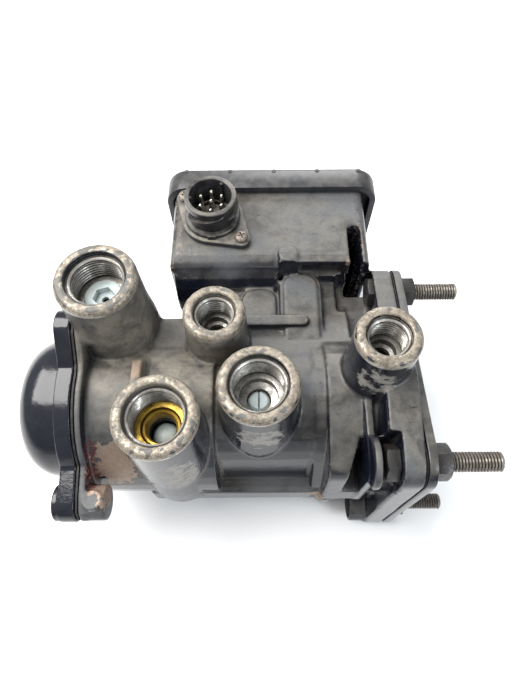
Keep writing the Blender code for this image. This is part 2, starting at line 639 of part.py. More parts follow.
def make_lid():
    outline = rounded_rectangle(LID_X, LID_Z, LID_CORNER_R, 6)
    lid = extruded("electronics_lid", "lid_plastic", outline, *LID_Y, "Y")
    mouth = rounded_rectangle(inset(LID_X, LID_WALL), inset(LID_Z, LID_WALL),
                              LID_CORNER_R - LID_WALL, 6)
    room = rounded_rectangle(*BOARD_BAY, BOARD_CORNER_R)
    cutters = [
        extruded("lid_mouth", "lid_plastic", mouth, LID_Y[0] - 1, 76.6, "Y"),
        extruded("lid_room", "lid_plastic", room, 75.0, LID_Y[1] - LID_WALL, "Y"),
    ]
    cutters += bolt_holes(LID_SCREWS, 2.3, 70.0, 86.0, "+Y", 12)
    cutters += bolt_holes(LID_SCREWS, 4.2, 80.6, 87.0, "+Y", 16)
    combine(lid, cutters, "DIFFERENCE")
    seal_outer = rounded_rectangle(inset(LID_X, 3.4), inset(LID_Z, 3.4), LID_CORNER_R - 3.4, 4)
    seal = extruded("lid_seal", "rubber", seal_outer, 74.3, 76.3, "Y")
    hole = extruded("seal_hole", "rubber", rounded_rectangle(*BOARD_BAY, BOARD_CORNER_R), 73.0,
                    78.0, "Y")
    combine(seal, [hole] + bolt_holes(LID_SCREWS, 2.3, 70.0, 78.0, "+Y", 12), "DIFFERENCE")


def make_lid_screws():
    profile = [(1.6, 67.5), (1.6, 80.9), (3.7, 80.9), (3.7, 82.4), (2.6, 83.4)]
    for index, (x, z) in enumerate(LID_SCREWS):
        turned(f"lid_screw_{index + 1}", "screw_steel", profile, (x, 0, z), "+Y", 16)


def make_circuit_board():
    spans = (inset(BOARD_BAY[0], 0.4), inset(BOARD_BAY[1], 0.4))
    board = extruded("circuit_board", "board", rounded_rectangle(*spans, BOARD_CORNER_R - 0.4),
                     *BOARD_Y, "Y")
    chips = []
    for index, (x, z, width,
                height) in enumerate(((30.0, 62.0, 16.0, 16.0), (-12.0, 30.0, 12.0, 20.0))):
        outline = rounded_rectangle((x - width / 2, x + width / 2),
                                    (z - height / 2, z + height / 2), 0.6, 1)
        chips.append(extruded(f"chip_{index}", "board", outline, BOARD_Y[1] - 0.5,
                              BOARD_Y[1] + 1.8, "Y"))
    return combine(board, chips, "UNION")


def make_connector():
    x, y = PLUG_XY
    deck = BOX_Z[1] + GAP
    foot = wrapped([(x, y, 15.0)] + [(sx, sy, 4.3) for sx, sy in PLUG_SCREWS], 28)
    shell = extruded("connector_shell", "plug_plastic", foot, deck, deck + 3.0, "Z")
    barrel = rod("plug_barrel", "plug_plastic", 12.1, deck + 1, PLUG_TOP, (x, y, 0), steps=32)
    key = extruded("plug_key", "plug_plastic",
                   rounded_rectangle((x - 2, x + 2), (y - 14.0, y - 11), 0.5, 1),
                   deck + 1, deck + 5.0, "Z")
    combine(shell, [barrel, key], "UNION")
    cutters = [rod("plug_socket", "plug_plastic", 9.8, deck + 3.4, PLUG_TOP + 1, (x, y, 0), steps=32)]
    groove = [(11.1, PLUG_TOP - 9.0), (14.0, PLUG_TOP - 9.0), (14.0, PLUG_TOP - 4.2),
              (11.1, PLUG_TOP - 4.2)]
    cutters.append(turned("plug_groove", "plug_plastic", groove, (x, y, 0), steps=28, hollow=True))
    for px, py in pin_places():
        cutters.append(rod(f"pin_hole_{px}", "plug_plastic", 1.3, deck - 1, deck + 5, (px, py, 0),
                           steps=8))
    for sx, sy in PLUG_SCREWS:
        cutters.append(rod(f"screw_hole_{sx}", "plug_plastic", 1.8, deck - 1, deck + 5,
                           (sx, sy, 0), steps=12))
    return combine(shell, cutters, "DIFFERENCE")


def pin_places():
    """One pin in the middle and six around it, which keeps them 1 mm or more apart."""
    x, y = PLUG_XY
    places = [(x, y)]
    for index in range(6):
        angle = math.radians(60 * index + 30)
        places.append((x + 5.6 * math.cos(angle), y + 5.6 * math.sin(angle)))
    return places


def make_pins_and_screws():
    for index, (x, y) in enumerate(pin_places()):
        profile = [(1.0, 86.0), (1.0, 103.2), (0.6, 104.4)]
        turned(f"connector_pin_{index + 1}", "pin_metal", profile, (x, y, 0), steps=10)
    head = [(1.1, 89.0), (1.1, 95.6), (3.2, 95.6), (3.2, 96.9), (2.3, 97.7)]
    for index, (x, y) in enumerate(PLUG_SCREWS):
        turned(f"connector_screw_{index + 1}", "screw_steel", head, (x, y, 0), steps=16)


def make_solenoids():
    for index, x in enumerate(SOLENOIDS_X):
        place = (x, 0, SOLENOID_Z)
        coil = [(5.3, 57.0), (5.3, 38.0), (8.0, 38.0), (8.0, 33.4), (12.5, 33.4), (12.5, 61.0)]
        turned(f"solenoid_coil_{index + 1}", "coil_resin", coil, place, "+Y", 24)
        armature = [(2.2, 35.2), (2.2, 38.6), (4.9, 38.6), (4.9, 50.0)]
        turned(f"solenoid_armature_{index + 1}", "piston_metal", armature, place, "+Y", 20)
        coil_spring(f"armature_spring_{index + 1}", 3.7, 0.45, 50.3, 56.7, 4, place, "+Y")


def make_pressure_sensor():
    profile = [(9.0, 33.4), (9.0, 40.0), (6.0, 40.0), (6.0, 48.0)]
    turned("pressure_sensor", "sensor_metal", profile, (5.0, 0, 28.0), "+Y", 24)


# ---------------------------------------------------------------- pneumatic pieces

def make_relay_piston():
    piston = [(25.7, -52.0), (25.7, -49.0), (22.2, -49.0), (22.2, -45.0), (25.7, -45.0),
              (25.7, -42.0), (8.0, -42.0), (5.0, -38.0), (5.0, -9.3), (4.2, -8.5)]
    turned("relay_piston", "piston_metal", piston, ON_BORE, "+X", 32)
    ring("relay_piston_seal", "rubber", 25.7, 22.5, -48.7, -45.3, ON_BORE, "+X", 32)
    ring("relay_stop_ring", "spring_steel", 27.5, 23.0, -54.3, -52.9, ON_BORE, "+X", 32)
    coil_spring("relay_piston_spring", 15.0, 1.1, -41.7, -5.3, 5, ON_BORE, "+X")


def make_inlet_valve():
    ring("inlet_seat", "brass", 11.7, 8.2, -0.7, 3.0, ON_BORE, "+X", 24)
    valve = [(3.0, -6.4), (4.6, -6.4), (4.6, 3.3), (11.0, 3.3), (11.0, 7.8), (6.0, 7.8),
             (6.0, 34.0), (3.0, 34.0)]
    turned("inlet_valve", "piston_metal", valve, ON_BORE, "+X", 24, hollow=True)
    coil_spring("inlet_valve_spring", 8.6, 0.9, 8.1, 19.6, 4, ON_BORE, "+X")
    ring("valve_guide", "brass", 19.7, 6.3, 20.0, 27.0, ON_BORE, "+X", 28)
    ring("guide_retaining_ring", "spring_steel", 21.1, 17.0, 27.6, 29.0, ON_BORE, "+X", 28)


def make_control_piston():
    piston = [(12.0, 43.0), (12.0, 41.5), (19.7, 41.5), (19.7, 43.4), (17.0, 43.4), (17.0, 46.4),
              (19.7, 46.4), (19.7, 48.5), (6.0, 48.5), (5.0, 66.2)]
    turned("control_piston", "piston_metal", piston, ON_BORE, "+X", 28)
    ring("control_piston_seal", "rubber", 19.7, 17.3, 43.7, 46.1, ON_BORE, "+X", 28)
    coil_spring("control_piston_spring", 15.0, 0.9, 29.4, 41.2, 3, ON_BORE, "+X")


def make_port_inserts():
    x, y, top = PORTS["a"]["at"]
    filter_body = rod("port_a_filter", "white_plastic", 7.7, top - 18.7, top - 14.0, (x, y, 0),
                      steps=24)
    recess = extruded("filter_hexagon", "white_plastic",
                      [(x + u, y + v) for u, v in hexagon(8.0, 15.0)],
                      top - 17.0, top - 13.0, "Z")
    vent = rod("filter_vent", "white_plastic", 1.6, top - 20.0, top - 13.0, (x, y, 0), steps=10)
    combine(filter_body, [recess, vent], "DIFFERENCE")

    x, y, top = PORTS["b"]["at"]
    ring("port_b_seat", "brass", 7.7, 5.7, top - 18.7, top - 16.0, (x, y, 0), steps=28)
    plunger_low = 87.0
    dome = [(5.4, plunger_low), (5.4, 88.6), (4.6, 90.3), (3.0, 91.6), (1.2, 92.2)]
    turned("port_b_plunger", "white_plastic", dome, (x, y, 0), steps=20)
    coil_spring("port_b_spring", 4.2, 0.5, PLUNGER_BORES["b"][1] + GAP, plunger_low - GAP, 5,
                (x, y, 0), "+Z")

    x, y, top = PORTS["d"]["at"]
    plunger_low = 87.0
    crown = [(4.5, plunger_low), (4.5, 91.2), (3.6, 92.4)]
    plunger = turned("port_d_plunger", "white_plastic", crown, (x, y, 0), steps=20)
    slit = rounded_rectangle((x - 0.4, x + 0.4), (y - 6, y + 6), 0.2, 1)
    combine(plunger, [extruded("plunger_split", "white_plastic", slit, 90.2, 94.0, "Z")], "DIFFERENCE")
    coil_spring("port_d_spring", 3.6, 0.45, PLUNGER_BORES["d"][1] + GAP, plunger_low - GAP, 3,
                (x, y, 0), "+Z")


def build():
    for old in list(bpy.data.objects):
        bpy.data.objects.remove(old)
    make_valve_body()
    make_end_cap()
    make_end_cap_gasket()
    make_end_cap_screws()
    make_flange_plates()
    make_mounting_bolts()
    make_silencer()
    make_lid()
    make_lid_screws()
    make_circuit_board()
    make_connector()
    make_pins_and_screws()
    make_solenoids()
    make_pressure_sensor()
    make_relay_piston()
    make_inlet_valve()
    make_control_piston()
    make_port_inserts()


build()
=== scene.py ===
"""Looks of an electro-pneumatic brake valve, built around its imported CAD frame.

Lengths are in millimetres in the row frame, and MM turns them into metres when a mesh is made.
"""
import math

import bmesh
import bpy
import numpy as np
from mathutils import Matrix, Vector, noise


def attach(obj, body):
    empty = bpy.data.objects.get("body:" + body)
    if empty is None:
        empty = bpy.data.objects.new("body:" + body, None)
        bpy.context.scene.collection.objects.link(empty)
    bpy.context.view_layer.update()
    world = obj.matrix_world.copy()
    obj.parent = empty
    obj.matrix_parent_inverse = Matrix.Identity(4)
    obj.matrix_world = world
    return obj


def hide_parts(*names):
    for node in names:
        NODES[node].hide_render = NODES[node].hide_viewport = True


MM = 0.001
HOUSING = "housing"

BORE_Y, BORE_Z = -31.0, 61.0
LARGE = {"rim": 16.0, "counterbore": 12.1, "thread": 10.3, "step": 8.0}
SMALL = {"rim": 12.5, "counterbore": 8.8, "thread": 7.3, "step": 5.6}
# each port: top centre, size, length of its boss, bore
PORTS = {
    "a": ((-58.4, -2.1, 127.2), LARGE, 30.0, 7.9),
    "b": ((-33.4, -53.5, 115.8), LARGE, 60.0, 5.8),
    "c": ((-13.5, -9.3, 113.1), SMALL, 25.0, 4.0),
    "d": ((4.4, -39.9, 111.9), LARGE, 28.0, 4.9),
    "e": ((53.1, -26.3, 124.3), SMALL, 30.0, 4.0),
}
FLANGE_BOLTS = ((20.6, 78.1), (-65.7, 91.0), (-67.0, 10.5))
CAP_LUGS = tuple(
    (BORE_Y + 45.5 * math.cos(math.radians(a)), BORE_Z + 45.5 * math.sin(math.radians(a)))
    for a in (64.0, 172.0, 250.0, 352.0)
)
PLUG_XY = (-17.5, 53.6)
PLUG_TOP = 110.0
PLUG_SCREWS = ((-3.6, 40.6), (-31.4, 65.7))
DECK_Z = 92.0
CAP_R = 37.0
CAP_LUG_R = 8.0
CAP_FACES = (-78.9, -81.7, -81.7, -81.7)
CAP_SCREW_ENDS = (-65.5, -63.0, -63.0, -63.0)
COVER_X = (68.0, 71.8)
FLANGE_LUG_R = 10.5
NUT_X = (72.1, 78.6)
HEX_AF = 13.0
HEAD_HEIGHT = 5.3
STUDS = ((61.4, 99.6, 8.0), (58.5, 99.6, 4.0), (61.4, 98.6, 8.0))  # head's back, tip, lean
PORT_PITCH = 1.5
STUD_PITCH = 1.25
BOSS_FEET = {"a": 18.4, "b": 17.2, "c": 13.8, "d": 17.6, "e": 13.6}
LID_SCREWS = ((-32.0, 10.0), (-32.0, 86.0), (52.0, 10.0), (52.0, 86.0))
SILENCER_X = -20.0
BODY_GRID = (0.62, 10, 198_000)  # voxel, smoothing passes, most faces
CAP_GRID = (0.42, 7, 10 ** 9)
CAP_FACES_MOST = 90_000

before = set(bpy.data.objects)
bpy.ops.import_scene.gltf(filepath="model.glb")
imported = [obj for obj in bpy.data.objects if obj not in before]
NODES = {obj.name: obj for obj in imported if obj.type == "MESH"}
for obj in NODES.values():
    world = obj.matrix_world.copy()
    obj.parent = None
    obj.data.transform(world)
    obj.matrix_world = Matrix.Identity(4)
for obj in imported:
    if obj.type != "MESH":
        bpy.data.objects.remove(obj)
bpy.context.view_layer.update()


# ---------------------------------------------------------------- material graphs

class Graph:
    """A Principled material whose colour, roughness and bump come from nodes."""

    def __init__(self, name, roughness=0.5, metallic=0.0, **sockets):
        self.material = bpy.data.materials.new(name)
        self.material.use_nodes = True
        self.tree = self.material.node_tree
        self.shader = self.tree.nodes["Principled BSDF"]
        self.shader.inputs["Roughness"].default_value = roughness
        self.shader.inputs["Metallic"].default_value = metallic
        for socket, value in sockets.items():
            self.shader.inputs[socket.replace("_", " ")].default_value = value
        self.where = self.node("ShaderNodeTexCoord").outputs["Object"]
        self.normal = self.node("ShaderNodeNewGeometry").outputs["Normal"]

    def node(self, kind, settings=None, inputs=None):
        made = self.tree.nodes.new(kind)
        for name, value in (settings or {}).items():
            setattr(made, name, value)
        for key, value in (inputs or {}).items():
            self.feed(made.inputs[key], value)
        return made

    def feed(self, socket, value):
        if isinstance(value, bpy.types.NodeSocket):
            self.tree.links.new(value, socket)
        elif isinstance(value, tuple) and len(value) == 3 and socket.type == "RGBA":
            socket.default_value = (*value, 1.0)
        else:
            socket.default_value = value

    def sum(self, kind, a, b=0.0):
        return self.node("ShaderNodeMath", {"operation": kind}, {0: a, 1: b}).outputs[0]

    def both(self, a, b):
        return self.sum("MULTIPLY", a, b)

    def either(self, a, b):
        return self.sum("MAXIMUM", a, b)

    def flip(self, a):
        return self.sum("SUBTRACT", 1.0, a)

    def grain(self, size, detail=4.0, rough=0.55, stretch=None, warp=0.0):
        """Noise with features about size millimetres across."""
        at = self.where
        if stretch:
            at = self.node("ShaderNodeMapping", None, {"Vector": at, "Scale": stretch}).outputs[0]
        inputs = {"Vector": at, "Scale": 1.0 / (size * MM), "Detail": detail, "Roughness": rough,
                  "Distortion": warp}
        return self.node("ShaderNodeTexNoise", None, inputs).outputs[0]

    def band(self, value, low, high):
        """0 at low and 1 at high, eased between them."""
        settings = {"interpolation_type": "SMOOTHSTEP"}
        return self.node("ShaderNodeMapRange", settings, {0: value, 1: low, 2: high}).outputs[0]

    def blend(self, share, a, b):
        made = self.node("ShaderNodeMix", {"data_type": "RGBA"})
        self.feed(made.inputs[0], share)
        self.feed(made.inputs[6], a)
        self.feed(made.inputs[7], b)
        return made.outputs[2]

    def level(self, share, a, b):
        made = self.node("ShaderNodeMix", {"data_type": "FLOAT"})
        self.feed(made.inputs[0], share)
        self.feed(made.inputs[2], a)
        self.feed(made.inputs[3], b)
        return made.outputs[0]

    def axis(self, vector, letter):
        return self.node("ShaderNodeSeparateXYZ", None, {0: vector}).outputs[letter]

    def attribute(self, name):
        return self.node("ShaderNodeAttribute", {"attribute_name": name}).outputs["Fac"]

    def ball(self, centre, radii, edge_noise, amount=0.45, inner=0.94):
        """1 inside a ragged blob around a point, 0 outside it."""
        scale = tuple(1.0 / (r * MM) for r in radii)
        shift = tuple(-c * MM for c in centre)
        moved = self.node("ShaderNodeVectorMath", {"operation": "ADD"},
                          {0: self.where, 1: shift}).outputs[0]
        moved = self.node("ShaderNodeVectorMath", {"operation": "MULTIPLY"},
                          {0: moved, 1: scale}).outputs[0]
        length = self.node("ShaderNodeVectorMath", {"operation": "LENGTH"}, {0: moved}).outputs["Value"]
        ragged = self.sum("ADD", length, self.both(self.sum("SUBTRACT", edge_noise, 0.5), amount * 4))
        return self.band(ragged, 1.0, inner)

    def colour(self, value):
        self.feed(self.shader.inputs["Base Color"], value)

    def roughness(self, value):
        self.feed(self.shader.inputs["Roughness"], value)

    def metallic(self, value):
        self.feed(self.shader.inputs["Metallic"], value)

    def bumps(self, *layers):
        """Each layer is (height from 0 to 1, depth in millimetres, strength)."""
        normal = None
        for height, depth, strength in layers:
            inputs = {"Height": height, "Distance": depth * MM, "Strength": strength}
            if normal:
                inputs["Normal"] = normal
            normal = self.node("ShaderNodeBump", None, inputs).outputs[0]
        self.feed(self.shader.inputs["Normal"], normal)


DUST = (0.098, 0.091, 0.078)
DUST_PALE = (0.205, 0.186, 0.150)
# Dark grime colour, also used as painted shade in the hollows of the enamel.
DIRT_AND_SHADE = (0.030, 0.024, 0.018)
BARE = (0.240, 0.180, 0.142)
# Gloss black paint tinted navy; the navy tint is a painted reflection.
ENAMEL_NAVY_REFLECTION = (0.0060, 0.0072, 0.0135)
DUSTY_AT = (-34.0, -24.0, 104.0)
DUSTY_REACH = (52.0, 46.0, 52.0)


def enamel(name, dusty, chips=(), sealant=(), scrapes=()):
    """Gloss black enamel on cast aluminium, under road dust that lies on what faces up. Its hollows get
    painted shade, and its black carries a navy painted reflection.
    """
    g = Graph(name, Specular_IOR_Level=0.42)
    up = g.axis(g.normal, "Z")
    high = g.axis(g.where, "Z")
    wide = g.grain(26, 3)
    mid = g.grain(7, 5, 0.6, warp=0.4)
    fine = g.grain(1.3, 4, 0.6)
    streak = g.grain(3.5, 5, 0.62, stretch=(0.5, 1.5, 0.8))
    hollow = g.attribute("hollow")
    edge = g.attribute("edge")
    thick = g.ball(DUSTY_AT, DUSTY_REACH, wide, 0.20, 0.35)
    walls = g.band(g.sum("ADD", up, g.both(g.band(high, 0.070, 0.104), 0.60)), 0.05, 0.62)
    tops = g.band(g.sum("ADD", up, g.both(g.sum("SUBTRACT", wide, 0.5), 0.9)), 0.38, 0.95)
    patchy = g.band(g.sum("ADD", g.both(wide, 0.5), g.both(mid, 0.5)), 0.36, 0.58)
    cover = g.level(thick, g.both(tops, g.level(patchy, 0.55, 1.0)),
                    g.both(walls, g.level(patchy, 0.85, 1.0)))
    cover = g.both(cover, g.level(g.band(streak, 0.60, 0.72), 1.0, 0.45))
    cover = g.either(cover, g.both(g.both(hollow, 0.9), g.band(up, -0.7, 0.3)))
    cover = g.both(cover, dusty)
    film = g.both(g.level(g.band(g.grain(1.1, 4, 0.6), 0.28, 0.55), 0.80, 1.0), cover)
    shade = g.blend(g.both(g.level(thick, 0.25, 1.0), g.band(mid, 0.30, 0.66)), DUST, DUST_PALE)
    # Hollows darken the dust towards near black: painted shade in recesses.
    shade = g.blend(g.both(hollow, 0.8), shade, DIRT_AND_SHADE)
    tint = g.blend(g.both(g.flip(thick), g.band(wide, 0.35, 0.7)), shade, (0.088, 0.092, 0.096))
    tint = g.blend(g.both(g.band(fine, 0.56, 0.70), 0.35), tint, DIRT_AND_SHADE)
    base = g.blend(g.both(film, 0.96), ENAMEL_NAVY_REFLECTION, tint)
    rough = g.level(cover, 0.10, 0.58)
    ragged = g.grain(3.2, 5, 0.65)
    rubbed = g.both(g.band(edge, 0.55, 0.95), g.band(g.grain(2.4, 4, 0.7), 0.50, 0.62))
    bare = g.both(rubbed, 0.6)
    for at, radii in chips:
        bare = g.either(bare, g.ball(at, radii, ragged))
    metal = g.blend(g.band(fine, 0.35, 0.7), BARE, (0.20, 0.150, 0.115))
    base = g.blend(bare, base, metal)
    rough = g.level(bare, rough, 0.5)
    for at, radii in scrapes:
        scraped = g.both(g.ball(at, radii, ragged, 0.3, 0.8), g.band(streak, 0.40, 0.56))
        base = g.blend(g.both(scraped, 0.8), base, (0.29, 0.275, 0.245))
        rough = g.level(scraped, rough, 0.55)
    for at, radii in sealant:
        red = g.both(g.ball(at, radii, ragged), g.band(fine, 0.40, 0.55))
        base = g.blend(g.both(red, 0.7), base, (0.10, 0.014, 0.011))
    g.colour(base)
    g.roughness(rough)
    g.metallic(g.both(bare, 0.35))
    g.bumps(
        (g.grain(9, 2), 0.35, 0.35),
        (g.grain(1.6, 5, 0.62), 0.13, 0.55),
        (g.flip(bare), 0.08, 0.7),
        (g.both(film, g.grain(0.35, 3)), 0.05, 0.6),
    )
    return g.material


def worn_metal(name, colour, dark, size=1.6, rough=0.42, metallic=0.75, speckle=0.5, relief=1.0,
               shade_hollows=False):
    """Bare metal with bright specks, oxide and small knocks; on request its hollows get painted shade.
    """
    g = Graph(name)
    mottled = g.grain(size, 6, 0.68)
    specks = g.grain(size * 0.42, 4, 0.7)
    wide = g.grain(size * 5, 3)
    base = g.blend(g.band(mottled, 0.40, 0.62), dark, colour)
    base = g.blend(g.both(g.band(specks, 0.56, 0.68), speckle), base, (0.80, 0.78, 0.72))
    base = g.blend(g.both(g.band(wide, 0.52, 0.72), 0.5), base, DIRT_AND_SHADE)
    pits = g.band(g.grain(size * 0.7, 3, 0.6), 0.24, 0.36)
    base = g.blend(pits, (0.10, 0.085, 0.07), base)
    # Hollows darken to near black: painted shade in thread roots.
    if shade_hollows:
        base = g.blend(g.band(g.attribute("hollow"), 0.0, 0.35), base, (0.030, 0.026, 0.022))
    g.colour(base)
    g.roughness(g.level(g.band(mottled, 0.35, 0.65), rough + 0.2, rough - 0.06))
    g.metallic(g.both(g.level(g.band(specks, 0.5, 0.68), 0.6, 1.0), metallic))
    g.bumps((mottled, 0.09 * relief, 0.6), (pits, 0.07 * relief, 0.6), (specks, 0.03 * relief, 0.6))
    return g.material


def moulded(name, colour, dusty=0.5, rough=0.42, grain=0.5, **sockets):
    """Moulded plastic or resin with fine spark texture, scuffs and dust on top."""
    g = Graph(name, **sockets)
    up = g.axis(g.normal, "Z")
    wide = g.grain(18, 3)
    mid = g.grain(4, 5, 0.62)
    fine = g.grain(grain, 3, 0.6)
    scuff = g.band(g.grain(1.6, 5, 0.7, stretch=(0.3, 1.8, 0.8)), 0.60, 0.72)
    film = g.both(g.band(up, 0.0, 0.75),
                  g.band(g.sum("ADD", g.both(wide, 0.5), g.both(mid, 0.5)), 0.34, 0.66))
    film = g.either(g.both(film, dusty), g.both(g.attribute("hollow"), 0.5 * dusty))
    paler = tuple(min(1.0, c * 1.55 + 0.01) for c in colour)
    base = g.blend(g.band(mid, 0.35, 0.75), colour, paler)
    base = g.blend(g.both(scuff, 0.35), base, paler)
    g.colour(g.blend(film, base, DUST_PALE))
    g.roughness(g.level(film, g.level(g.band(fine, 0.3, 0.7), rough - 0.06, rough + 0.1), 0.68))
    g.bumps((fine, 0.035, 0.6), (mid, 0.06, 0.35), (scuff, 0.02, 0.5))
    return g.material


def machined(name, colour, rough=0.3, lines=0.12, metallic=1.0, stain=DIRT_AND_SHADE, stained=0.3):
    """Turned or drawn metal with tool lines and stains."""
    g = Graph(name)
    lay = g.grain(lines, 2, 0.5, stretch=(1.0, 0.25, 1.0))
    mottled = g.grain(2.2, 5, 0.6)
    base = g.blend(g.band(mottled, 0.3, 0.7), tuple(c * 0.78 for c in colour), colour)
    g.colour(g.blend(g.both(g.band(g.grain(3.4, 4, 0.65), 0.5, 0.7), stained), base, stain))
    g.roughness(g.level(g.band(mottled, 0.3, 0.7), rough + 0.12, rough - 0.05))
    g.metallic(metallic)
    g.bumps((lay, 0.02, 0.5), (mottled, 0.03, 0.4))
    return g.material


def rubber(name):
    g = Graph(name, roughness=0.7)
    fine = g.grain(0.6, 4, 0.6)
    g.colour(g.blend(g.band(g.grain(3, 4), 0.4, 0.7), (0.010, 0.010, 0.010), (0.035, 0.032, 0.028)))
    g.roughness(g.level(fine, 0.6, 0.85))
    g.bumps((fine, 0.05, 0.5))
    return g.material


def circuit(name):
    """Green solder mask with copper tracks beneath it."""
    g = Graph(name, Coat_Weight=0.3)
    cells = g.node("ShaderNodeTexVoronoi", {"distance": "MANHATTAN", "feature": "DISTANCE_TO_EDGE"},
                   {"Vector": g.where, "Scale": 260.0}).outputs[0]
    tracks = g.band(cells, 0.05, 0.09)
    g.colour(g.blend(tracks, (0.03, 0.20, 0.08), (0.008, 0.075, 0.03)))
    g.roughness(g.level(g.grain(1.5, 3), 0.3, 0.5))
    g.bumps((tracks, 0.03, 0.6))
    return g.material


CHIPS = (
    ((-57.0, -66.0, 76.0), (9.5, 13.5, 16.0)),
    ((-50.5, -58.0, 86.0), (7.0, 6.0, 6.0)),
    ((-45.6, -27.5, 100.0), (3.4, 5.2, 3.0)),
    ((-33.0, -78.0, 44.0), (7.0, 4.0, 3.0)),
    ((30.0, -69.0, 40.0), (5.0, 3.0, 2.5)),
    ((47.0, 29.0, 90.5), (1.6, 2.6, 2.0)),
)
SCRAPES = (
    ((-26.0, -70.0, 84.0), (10.0, 7.0, 21.0)),
    ((6.0, -57.0, 92.0), (13.0, 5.0, 11.0)),
    ((15.0, -62.0, 78.0), (12.0, 5.0, 5.0)),
    ((50.0, -38.0, 108.0), (9.0, 5.0, 10.0)),
)
SEALANT = (((-66.0, -62.0, 82.0), (2.0, 10.0, 8.0)), ((-66.5, -67.0, 72.0), (2.6, 6.0, 8.0)))

MATS = {
    "cast": enamel("body_enamel", 0.97, CHIPS, SEALANT, SCRAPES),
    "cap": enamel("cap_enamel", 0.10, (((-80.0, -39.0, 87.0), (1.0, 2.2, 3.0)),)),
    "plate": enamel("plate_enamel", 0.95, (((71.0, -52.0, 98.0), (1.5, 3.0, 1.5)),)),
    "rim": worn_metal("worn_rim", (0.27, 0.238, 0.19), (0.15, 0.125, 0.095), 1.5, 0.42, 0.4, 0.35),
    "thread": worn_metal("port_thread", (0.40, 0.39, 0.365), (0.24, 0.225, 0.20), 2.6, 0.30, 0.9,
                         0.2, 0.25, True),
    "bolt": worn_metal("weathered_steel", (0.25, 0.235, 0.21), (0.14, 0.12, 0.10), 1.9, 0.36, 0.85,
                       0.15, 0.4, True),
    "oxide": worn_metal("black_oxide", (0.035, 0.034, 0.034), (0.018, 0.017, 0.017), 1.3, 0.34, 0.5,
                        0.05),
    "screw": worn_metal("zinc_screw", (0.26, 0.215, 0.18), (0.13, 0.11, 0.09), 1.2, 0.45, 0.6, 0.3),
    "lid": moulded("lid_plastic", (0.012, 0.013, 0.016), 0.14, 0.34),
    "plug": moulded("plug_plastic", (0.012, 0.012, 0.014), 0.42, 0.30),
    "plug_foot": moulded("plug_foot_plastic", (0.020, 0.020, 0.022), 0.95, 0.42),
    "silencer": moulded("silencer_plastic", (0.018, 0.018, 0.019), 0.2, 0.5),
    "white": moulded("insert_plastic", (0.46, 0.50, 0.50), 0.25, 0.34, Subsurface_Weight=0.15),
    "amber": machined("seat_brass", (0.47, 0.31, 0.055), 0.34, 0.3, 0.75, (0.10, 0.055, 0.012), 0.75),
    "pin": machined("pin_metal", (0.72, 0.70, 0.62), 0.22),
    "piston": machined("piston_metal", (0.56, 0.57, 0.58), 0.3),
    "steel": machined("spring_metal", (0.42, 0.42, 0.43), 0.28, 0.2),
    "brass": machined("guide_brass", (0.62, 0.47, 0.16), 0.32),
    "rubber": rubber("seal_rubber"),
    "board": circuit("circuit_laminate"),
    "resin": moulded("coil_resin", (0.016, 0.016, 0.017), 0.1, 0.35, Coat_Weight=0.2),
}


# ---------------------------------------------------------------- mesh helpers

AXES = {
    "X": Matrix(((0, 0, 1, 0), (1, 0, 0, 0), (0, 1, 0, 0), (0, 0, 0, 1))),
    "Y": Matrix(((1, 0, 0, 0), (0, 0, 1, 0), (0, -1, 0, 0), (0, 0, 0, 1))),
    "Z": Matrix.Identity(4),
}


def lathe(profile, at, axis="Z", steps=96, closed=False):
    """A turned mesh from points (radius, height) along an axis through a point."""
    bm = bmesh.new()
    turn = Matrix.Translation(Vector(at)) @ AXES[axis]
    rows = []
    for radius, height in profile:
        if radius < 1e-6:
            rows.append([bm.verts.new(turn @ Vector((0, 0, height)))])
            continue
        row = []
        for step in range(steps):
            angle = 2 * math.pi * step / steps
            row.append(bm.verts.new(turn @ Vector((radius * math.cos(angle),
                                                   radius * math.sin(angle), height))))
        rows.append(row)
    pairs = list(zip(rows, rows[1:]))
    if closed:
        pairs.append((rows[-1], rows[0]))
    for low, high in pairs:
        bridge(bm, low, high)
    bmesh.ops.recalc_face_normals(bm, faces=bm.faces)
    return bm


def bridge(bm, low, high):
    if len(low) == 1 and len(high) == 1:
        return
    count = max(len(low), len(high))
    for step in range(count):
        after = (step + 1) % count
        if len(low) == 1:
            bm.faces.new((low[0], high[step], high[after]))
        elif len(high) == 1:
            bm.faces.new((low[step], high[0], low[after]))
        else:
            bm.faces.new((low[step], low[after], high[after], high[step]))


def prism(outline, low, high, axis="Z", shrink=0.0):
    """An outline extruded along an axis, with its two ends drawn in by a bevel of that size."""
    place = {"X": lambda u, v, h: (h, u, v), "Y": lambda u, v, h: (u, h, v), "Z": lambda u, v,
             h: (u, v, h)}[axis]
    bm = bmesh.new()
    levels = [(low, shrink)]
    if shrink:
        for turn in (30, 60, 90):
            angle = math.radians(turn)
            levels.append((low + shrink * (1 - math.cos(angle)), shrink * (1 - math.sin(angle))))
        for turn in (90, 60, 30, 0):
            angle = math.radians(turn)
            levels.append((high - shrink * (1 - math.cos(angle)), shrink * (1 - math.sin(angle))))
    else:
        levels.append((high, 0.0))
    rows = []
    for height, inward in levels:
        rows.append([bm.verts.new(place(u, v, height)) for u, v in drawn_in(outline, inward)])
    return capped(bm, rows)


def capped(bm, rows):
    """Join rows of points into a solid with flat ends."""
    for lower, upper in zip(rows, rows[1:]):
        bridge(bm, lower, upper)
    bm.faces.new(rows[0][::-1])
    bm.faces.new(rows[-1])
    bmesh.ops.recalc_face_normals(bm, faces=bm.faces)
    return bm


